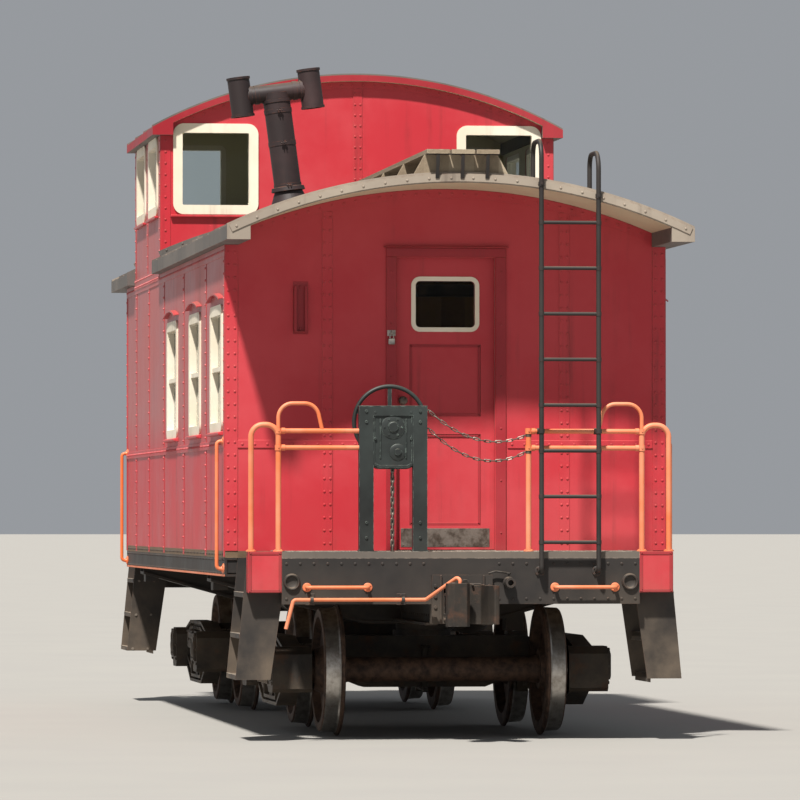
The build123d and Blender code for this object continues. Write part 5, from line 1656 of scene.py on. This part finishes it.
def sideFrameFittings():
    # column bolts, rivets, the bolster's end plate, spring clips and bands, and the frame's top ribs
    s = truck
    out = yAxis
    face, end = s["frameOut"], s["bolsterEnd"]
    foot, head, half = s["bolsterFoot"], s["bolsterHead"], s["bolsterHalf"] - 0.012
    parts = []
    for x in (-s["column"], s["column"]):
        parts += boltsAt([(x, face - s["pocket"], z) for z in s["columnBolts"]], out)
    parts += [rivetRow((-0.28, face, 0.611), (0.28, face, 0.611), out, 0.14, 1.6)]
    cap = block((-half, end, foot + 0.01), (half, end + 0.008, head - 0.01))
    parts += [pressed(cap, out, 0.02, 0.005)]
    parts += boltsAt([(x, end + 0.003, (foot + head) / 2) for x in (-0.07, 0.07)], out, 0.8)
    inner, outer = s["line"] - s["springHalf"], s["line"] + s["springHalf"]
    for x in (-0.036, 0.036):
        for z in (s["seat"] + 0.004, foot - 0.02):
            parts += [block((x - 0.005, inner, z), (x + 0.005, outer, z + 0.016), barEdge)]
    for z in (s["seat"] + 0.036, foot - 0.036):
        parts += [chunk((0, s["line"], z), (0.084, outer - inner + 0.004, 0.044), castEdge)]
        parts += boltsAt([(0, outer + 0.002, z)], out, 0.7)
    rib = plate([(-0.41, 0.585), (-0.68, 0.585), (-0.70, 0.567), (-0.43, 0.567)], 0.008,
                wallPlace("right", 0, 0, face - 0.002), 0.002)
    parts += withTwins([rib], lengthMirror)
    underTrucks("sideFrameFittings", bothSides(parts), "truckIron")


def truckRigging():
    # brake levers, struts and the bottom rod, clear below the carbody
    s = truck
    z, top, low = s["beamUp"], s["leverHead"], s["rodUp"]
    lever = [(-0.018, 0), (0.018, 0), (0.022, 0.12), (0.016, 0.33), (-0.016, 0.33), (-0.022, 0.12)]
    key = [(-0.01, 0), (0.01, 0), (0.006, 0.17), (-0.006, 0.17)]
    parts = []
    for hand in (-1, 1):
        x, beam = hand * s["leverAt"], hand * s["beam"]
        parts += [plate(lever, 0.016, wallPlace("near", 0, s["leverFoot"], x - 0.008), 0.003)]
        x0, x1 = sorted((x + hand * 0.006, beam - hand * 0.022))
        for y in (-0.022, 0.022):
            parts += [block((x0, y - 0.007, z - 0.022), (x1, y + 0.007, z + 0.022), castEdge)]
        parts += [barrel((x, -0.036, z), (x, 0.036, z), 0.012, 12, 0.002)]
        parts += [barrel((x, -0.03, top), (x, 0.03, top), 0.011, 12, 0.002)]
        for side in (-1, 1):
            place = wallPlace("near", side * s["shoe"], z - 0.085, beam - hand * 0.03 - 0.005)
            parts += [plate(key, 0.01, place, 0.002)]
            for y, outer, width in ((0.62, 0.04, 0.03), (0.06, 0.038, 0.05)):
                parts += [band((beam, side * y, z), yAxis, 0.0298, outer, width, 16)]
        parts += [chunk((x, 0, low - 0.0005), (0.056, 0.036, 0.029), castEdge)]
    end = s["leverAt"] + 0.02
    parts += [bentBar([(-end, 0, low), (end, 0, low)], 0.012)]
    underTrucks("truckRigging", parts, "truckIron")


journalLids()
sideFrameFittings()
truckRigging()
print("trucks done")


# Below the floor

tanks = {
    # from and to along the car, place across it and radius
    "cylinder": (-0.70, -0.15, -0.52, 0.135), "reservoir": (0.15, 1.15, 0.56, 0.2),
    "smallReservoir": (-1.3, -0.85, 0.62, 0.16),
}
gear = {"beamFoot": 1.1004, "hang": 0.06, "strap": 0.004, "pipe": (0.31, 1.0404), "rodUp": 0.90,
        "rodAt": 0.30, "rodStep": 0.018, "rodBend": 1.2, "rodEnd": 2.3, "hangers": (0.9, 1.8),
        "leverAt": 0.065, "branchAt": -0.3, "clamps": (-1.8, -0.9, 0, 0.9, 1.8)}


def tankMiddle(radius):
    return gear["beamFoot"] - radius - gear["hang"]


def tankFittings():
    # straps, end seams, plugs and drains of the tanks, and the brake cylinder's bolted head
    out = xAxis
    plug = [(0, 0.018), (0.018, 0.018), (0.022, 0.012), (0.022, -0.004), (0, -0.004)]
    parts = []
    for low, high, y, radius in tanks.values():
        z, length = tankMiddle(radius), high - low
        for share in (0.27, 0.73):
            place = (low + share * length, y, z)
            parts += [band(place, out, radius - 0.001, radius + gear["strap"], 0.035)]
        for x, hand in ((low, -1), (high, 1)):
            seam = (x - hand * radius * 0.36, y, z)
            parts += [band(seam, out, radius - 0.001, radius + 0.003, 0.012)]
            parts += [lathe(plug, (x, y, z), (hand, 0, 0), 6)]
        x, foot = low + length / 2, z - radius
        parts += [barrel((x, y, foot - 0.014), (x, y, foot + 0.004), 0.014, 8, 0.002)]
    _, end, y, radius = tanks["cylinder"]
    z, rimAt = tankMiddle(radius), radius + 0.014
    head = [(0, 0.03), (0.045, 0.03), (0.05, 0.022), (0.05, 0.008), (radius + 0.012, 0.006), (rimAt, 0),
            (rimAt, -0.016), (0, -0.016)]
    parts += [lathe(head, (end - 0.002, y, z), out, 32)]
    parts += boltsAt([(end + 0.004, y + dy, z + dz) for dy, dz in circlePlaces(10, radius - 0.004)], out, 0.6)
    finished("tankFittings", parts, "frameBlack")


def brakeRods():
    # the cylinder's push rod and lever, the pull rods in their hangers, and the pipes with their clamps
    s = gear
    beam, lever, rodY, rodUp = s["beamFoot"], s["leverAt"], -s["rodAt"], s["rodUp"]
    _, end, cylinderY, radius = tanks["cylinder"]
    z = tankMiddle(radius)
    parts = [bentBar([(end, cylinderY, z), (lever - 0.005, cylinderY, z)], 0.016)]
    outline = [(0.045, -0.56), (0.085, -0.56), (0.095, -0.3), (0.085, -0.255), (0.045, -0.255), (0.035, -0.3)]
    parts += [plate(outline, 0.022, Matrix.Translation((0, 0, z - 0.011)), 0.003)]
    for y in (cylinderY, rodY):
        parts += [barrel((lever, y, z - 0.03), (lever, y, z + 0.03), 0.013, 12, 0.002)]
    for hand in (-1, 1):
        start, bend, far = z - s["rodStep"] * hand, hand * s["rodBend"], hand * s["rodEnd"]
        parts += [bentBar([(lever, rodY, start), (bend, rodY, start), (far, rodY, rodUp)], 0.011, 0.2)]
        parts += [chunk((far, rodY, rodUp), (0.07, 0.04, 0.04), 0.005)]
        for along in s["hangers"]:
            share = max(0, (along - s["rodBend"]) / (s["rodEnd"] - s["rodBend"]))
            x, low = hand * along, start * (1 - share) + rodUp * share - 0.022
            left, right = rodY - 0.022, rodY + 0.022
            loop = [(x, left, beam), (x, left, low), (x, right, low), (x, right, beam)]
            parts += [bentBar(loop, 0.006, 0.015)]
    y, up = s["pipe"]
    for x in s["clamps"]:
        parts += [band((x, y, up), xAxis, 0.0208, 0.027, 0.03, 16)]
        parts += [block((x - 0.015, y - 0.006, up + 0.022), (x + 0.015, y + 0.006, beam), barEdge)]
        parts += [chunk((x, y, beam - 0.003), (0.04, 0.08, 0.006), barEdge)]
    first, _, bigY, bigRadius = tanks["reservoir"]
    _, last, smallY, smallRadius = tanks["smallReservoir"]
    big, small, x = tankMiddle(bigRadius), tankMiddle(smallRadius), s["branchAt"]
    link = [(first + 0.02, bigY, big), (x, bigY, big), (x, smallY, small), (last - 0.02, smallY, small)]
    parts += [bentBar(link, 0.011, 0.05)]
    parts += [bentBar([(x, bigY, big), (x, y, up)], 0.011)]
    parts += [band((x, y, up), xAxis, 0.0208, 0.03, 0.05, 12)]
    finished("brakeRods", parts, "frameBlack")


sillRows = {"web": 0.162, "inset": 0.3, "heights": (0.06, 0.05), "flange": 0.03}


def centreSillRivets():
    # rivets along the centre sill's webs and flanges
    s = sillRows
    low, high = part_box("centre_sill")
    end, web, flange = deckEnd - s["inset"], -s["web"], -s["web"] - s["flange"]
    rows = []
    for z in (low.z + s["heights"][0], high.z - s["heights"][1]):
        rows += [rivetRow((-end, web, z), (end, web, z), (0, -1, 0), 0.11, 1.1)]
    rows += [rivetRow((-end, flange, low.z), (end, flange, low.z), (0, 0, -1), 0.16, 1.1)]
    finished("centreSillRivets", bothSides(rows), "frameBlack")


tankFittings()
brakeRods()
centreSillRivets()
print("underframe done")


# Cabin, seen through the glass

cabin = {
    "seatY": (0.52, 1.355), "seatX": (-2.52, -1.58), "backX": (-2.09, -2.01), "seatTop": 3.2454,
    "backTop": 3.7654, "seatFoot": 2.8454, "cushion": 0.095, "backPad": 0.034, "gap": 0.006,
}
cushion = {"voxel": 0.0075, "pressure": 3.0, "frames": 16, "shrink": 0.008, "cap": 0.01,
           "piping": 0.005, "pipingIn": 0.006, "pipingDrop": 0.03}


def stuffed(low, high):
    s = cushion
    pad = block([v + s["shrink"] for v in low], [v - s["shrink"] for v in high], 0.01, 3)
    modified(pad, "REMESH", mode="VOXEL", voxel_size=s["voxel"])
    before = [v.co.copy() for v in pad.data.vertices]
    makeActive(pad)
    cloth = pad.modifiers.new("cloth", "CLOTH")
    cloth.settings.use_pressure, cloth.settings.uniform_pressure_force = True, s["pressure"]
    cloth.settings.effector_weights.gravity = 0
    cloth.settings.quality = 4
    scene = bpy.context.scene
    for number in range(1, s["frames"] + 1):
        scene.frame_set(number)
    bpy.ops.object.modifier_apply(modifier=cloth.name)
    scene.frame_set(1)
    for vertex, start in zip(pad.data.vertices, before):
        move = vertex.co - start
        if move.length > s["cap"]:
            vertex.co = start + move.normalized() * s["cap"]
        for axis in range(3):
            vertex.co[axis] = min(max(vertex.co[axis], low[axis] + 0.001), high[axis] - 0.001)
    return modified(pad, "SUBSURF", levels=1, render_levels=1)


def piping(low, high, z):
    # the corded seam round a cushion's edge
    s = cushion
    x0, x1 = low[0] + s["pipingIn"], high[0] - s["pipingIn"]
    y0, y1 = low[1] + s["pipingIn"], high[1] - s["pipingIn"]
    return ringBar([(x0, y0, z), (x1, y0, z), (x1, y1, z), (x0, y1, z)], s["piping"], 0.025, 4)


def cupolaSeats():
    s = cabin
    y0, y1 = s["seatY"]
    top = s["seatTop"] - s["cushion"]
    frames, pads, seams = [], [], []
    for x0, x1 in ((s["seatX"][0], s["backX"][0]), (s["backX"][1], s["seatX"][1])):
        base = block((x0, y0, s["seatFoot"]), (x1, y1, top), softEdge)
        frames += [pressed(base, (0, -1, 0), 0.045, 0.012)]
        low = (x0 + s["gap"], y0 + s["gap"], top)
        high = (x1 - s["gap"], y1 - s["gap"], s["seatTop"])
        pads.append((low, high))
    middle = (s["backX"][0] + s["backX"][1]) / 2
    frames += [block((middle - 0.012, y0, top), (middle + 0.012, y1, s["backTop"]), 0.005)]
    for hand in (-1, 1):
        low, high = sorted((middle + hand * 0.012, middle + hand * (0.012 + s["backPad"] - 0.006)))
        pads.append(((low, y0 + 0.02, s["seatTop"] + 0.01), (high, y1 - 0.02, s["backTop"] - 0.03)))
    woods = finished("cupolaSeatFrames", bothSides(frames), "benchWood")
    number = 0
    for low, high in pads:
        pad = stuffed(low, high)
        for name, piece in (("Right", pad), ("Left", copyOf(pad, acrossMirror))):
            made = finished(f"cupolaCushion{name}{number}", [piece], "seatLeather", smooth=60)
        if high[2] == s["seatTop"]:
            seams += [piping(low, high, high[2] - cushion["pipingDrop"])]
        number += 1
    finished("cushionPiping", bothSides(seams), "seatLeather")
    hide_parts("cupola_seats")


cupboards = {"face": 0.40, "from": -3.06, "to": -1.04, "doors": 4, "foot": 0.06, "head": 1.56, "proud": 0.006,
             "slats": (1.38, 1.42, 1.46), "handle": (0.80, 0.92), "hinges": (0.2, 1.4)}


def lockerDoors():
    # panelled doors with slats, handles and hinges
    s = cupboards
    back, front = s["face"], s["face"] - s["proud"]
    wide = (s["to"] - s["from"]) / s["doors"]
    parts, metal = [], []
    for number in range(s["doors"]):
        x0 = s["from"] + number * wide + 0.008
        x1 = x0 + wide - 0.016
        door = block((x0, front, floorTop + s["foot"]), (x1, back, floorTop + s["head"]), thinEdge)
        parts += [pressed(door, (0, -1, 0), 0.045, 0.003)]
        for z in [floorTop + up for up in s["slats"]]:
            parts += [block((x0 + 0.09, front, z), (x1 - 0.09, back - 0.001, z + 0.012), barEdge)]
        x, (low, high) = x1 - 0.03, s["handle"]
        low, high = (x - 0.01, front - 0.0015, floorTop + low), (x + 0.01, front, floorTop + high)
        metal += [block(low, high, thinEdge)]
        x, y = x0 - 0.002, back - 0.004
        metal += [barrel((x, y, floorTop + up), (x, y, floorTop + up + 0.08), 0.004, 8, 0)
                  for up in s["hinges"]]
    finished("lockerDoors", bothSides(parts), "cabinGreen")
    finished("lockerHandles", bothSides(metal), "boltSteel")


stoveParts = {"at": (1.725, -0.8), "rings": ((0.12, 0.192), (0.18, 0.217), (0.62, 0.218), (0.80, 0.212)),
              "flue": 0.075, "flueRings": (0.95, 1.35, 1.75), "doorUp": 0.36, "lidUp": 0.83, "feet": 0.15}


def stoveFittings():
    # rings round the body and flue, the fire door with its hinge and handle, the lid and the feet
    s = stoveParts
    x, y = s["at"]
    up, flue, door = zAxis, s["flue"], floorTop + s["doorUp"]
    parts = [band((x, y, floorTop + z), up, radius - 0.004, radius + 0.006, 0.02) for z, radius in s["rings"]]
    parts += [band((x, y, floorTop + z), up, flue - 0.001, flue + 0.005, 0.02) for z in s["flueRings"]]
    front = block((x - 0.075, y + 0.215, door - 0.07), (x + 0.075, y + 0.245, door + 0.08), 0.008)
    parts += [pressed(front, yAxis, 0.02, -0.006)]
    hinge = (x + 0.082, y + 0.235)
    parts += [barrel((*hinge, door - 0.05), (*hinge, door + 0.06), 0.008, 12, 0.001)]
    handle, out = x - 0.05, y + 0.275
    bends = [(handle, y + 0.25, door), (handle, out, door), (handle, out, door - 0.06)]
    parts += [bentBar(bends, 0.005, 0.012)]
    lid = [(0, 0.012), (0.085, 0.012), (0.09, 0.006), (0.09, 0), (0, 0)]
    parts += [lathe(lid, (x, y, floorTop + s["lidUp"]), up, 24)]
    foot = [(0, 0.012), (0.03, 0.012), (0.038, 0.004), (0.038, 0), (0, 0)]
    for dx, dy in circlePlaces(4, s["feet"], math.pi / 4):
        parts += [lathe(foot, (x + dx, y + dy, floorTop), up, 12)]
    finished("stoveFittings", parts, "stoveIron")


furniture = {
    "desk": (-0.35, 0.70, 1.9854), "back": -1.395, "deskDepth": 0.6, "drawers": ((0.17, 0.035), (0.33, 0.19)),
    "benches": ((2.4, 3.7, -1), (0.9, 2.9, 1)), "seat": 1.6954, "benchDepth": 0.54, "slats": (0.06, 0.19, 0.32),
}


def furnitureTrim():
    # desk drawers, bench nosings and back slats
    s = furniture
    x0, x1, top = s["desk"]
    back, seat = s["back"], s["seat"]
    front = back + s["deskDepth"] - 0.04
    parts, pulls = [], []
    for foot, head in s["drawers"]:
        drawer = block((x0 + 0.03, back + 0.1, top - foot), (x0 + 0.43, front - 0.002, top - head))
        parts += [pressed(drawer, yAxis, 0.018, 0.004)]
        left, right, near, far, z = x0 + 0.18, x0 + 0.28, front + 0.02, front - 0.004, top - (foot + head) / 2
        bends = [(left, far, z), (left, near, z), (right, near, z), (right, far, z)]
        pulls += [bentBar(bends, 0.004, 0.008)]
    parts.append(block((x0 - 0.004, front + 0.04, top - 0.028),
                       (x1 + 0.004, front + 0.048, top + 0.002), 0.004))
    for low, high, hand in s["benches"]:
        y = hand * (-back - s["benchDepth"])
        y0, y1 = sorted((y, y - hand * 0.01))
        parts += [block((low - 0.003, y0, seat - 0.034), (high + 0.003, y1, seat + 0.003), castEdge)]
        y = hand * (-back - 0.03)
        y0, y1 = sorted((y, y - hand * 0.018))
        for z in [seat + up for up in s["slats"]]:
            parts += [block((low + 0.01, y0, z), (high - 0.01, y1, z + 0.075), castEdge)]
    finished("furnitureTrim", parts, "benchWood")
    finished("drawerPulls", pulls, "boltSteel")


cupolaSeats()
lockerDoors()
stoveFittings()
furnitureTrim()
print("cabin done")


# Camera, lights and floor

studio = {
    "camera": (43.4, -5.4, 1.475), "aimAcross": 7.35, "aimUp": 1.12, "lens": 268, "clip": (1.0, 2000.0),
    "key": (2.6, -1.36, 4.9), "keyPower": 7.4, "keySpread": 3.0, "keyTint": (1.0, 0.96, 0.9),
    "world": "EEF3FA", "worldPower": 0.36, "floorRadius": 450, "floorDrop": 0.001, "floorRoughness": 0.85,
    "floorTones": ("8F8D8A", "96948F"), "floorPatches": 0.8,
}


def turnTo(piece, direction, axis):
    piece.rotation_mode = "QUATERNION"
    piece.rotation_quaternion = Vector(direction).to_track_quat(axis, "Y")


def studioSet():
    s = studio
    bpy.ops.object.camera_add(location=s["camera"])
    camera = bpy.context.object
    camera.data.lens = s["lens"]
    camera.data.clip_start, camera.data.clip_end = s["clip"]
    across, up = math.radians(s["aimAcross"]), math.radians(s["aimUp"])
    turnTo(camera, (-math.cos(across) * math.cos(up), math.sin(across) * math.cos(up), math.sin(up)), "-Z")
    bpy.context.scene.camera = camera
    bpy.ops.object.light_add(type="SUN")
    lamp = bpy.context.object
    lamp.data.energy, lamp.data.color = s["keyPower"], s["keyTint"]
    lamp.data.angle = math.radians(s["keySpread"])
    turnTo(lamp, s["key"], "Z")
    world = bpy.data.worlds.new("studio")
    world.use_nodes = True
    sky = world.node_tree.nodes["Background"]
    sky.inputs["Color"].default_value, sky.inputs["Strength"].default_value = tone(s["world"]), s["worldPower"]
    bpy.context.scene.world = world
    bpy.context.scene.view_settings.view_transform = "Standard"
    selectNothing()
    bpy.ops.mesh.primitive_circle_add(vertices=96, radius=s["floorRadius"], fill_type="NGON",
                                      location=(0, 0, -s["floorDrop"]))
    ground = settle(bpy.context.object)
    ground.name = "studioFloor"
    paper = bpy.data.materials.new("studioPaper")
    paper.use_nodes = True
    tree = paper.node_tree
    shader = tree.nodes["Principled BSDF"]
    shader.inputs["Roughness"].default_value = s["floorRoughness"]
    dark, light = [tone(code) for code in s["floorTones"]]
    tint = mixed(tree, noiseOf(tree, s["floorPatches"], 3.0, objectPlace(tree)), dark, light)
    tree.links.new(tint, shader.inputs["Base Color"])
    ground.data.materials.append(paper)


studioSet()
print("studio set")
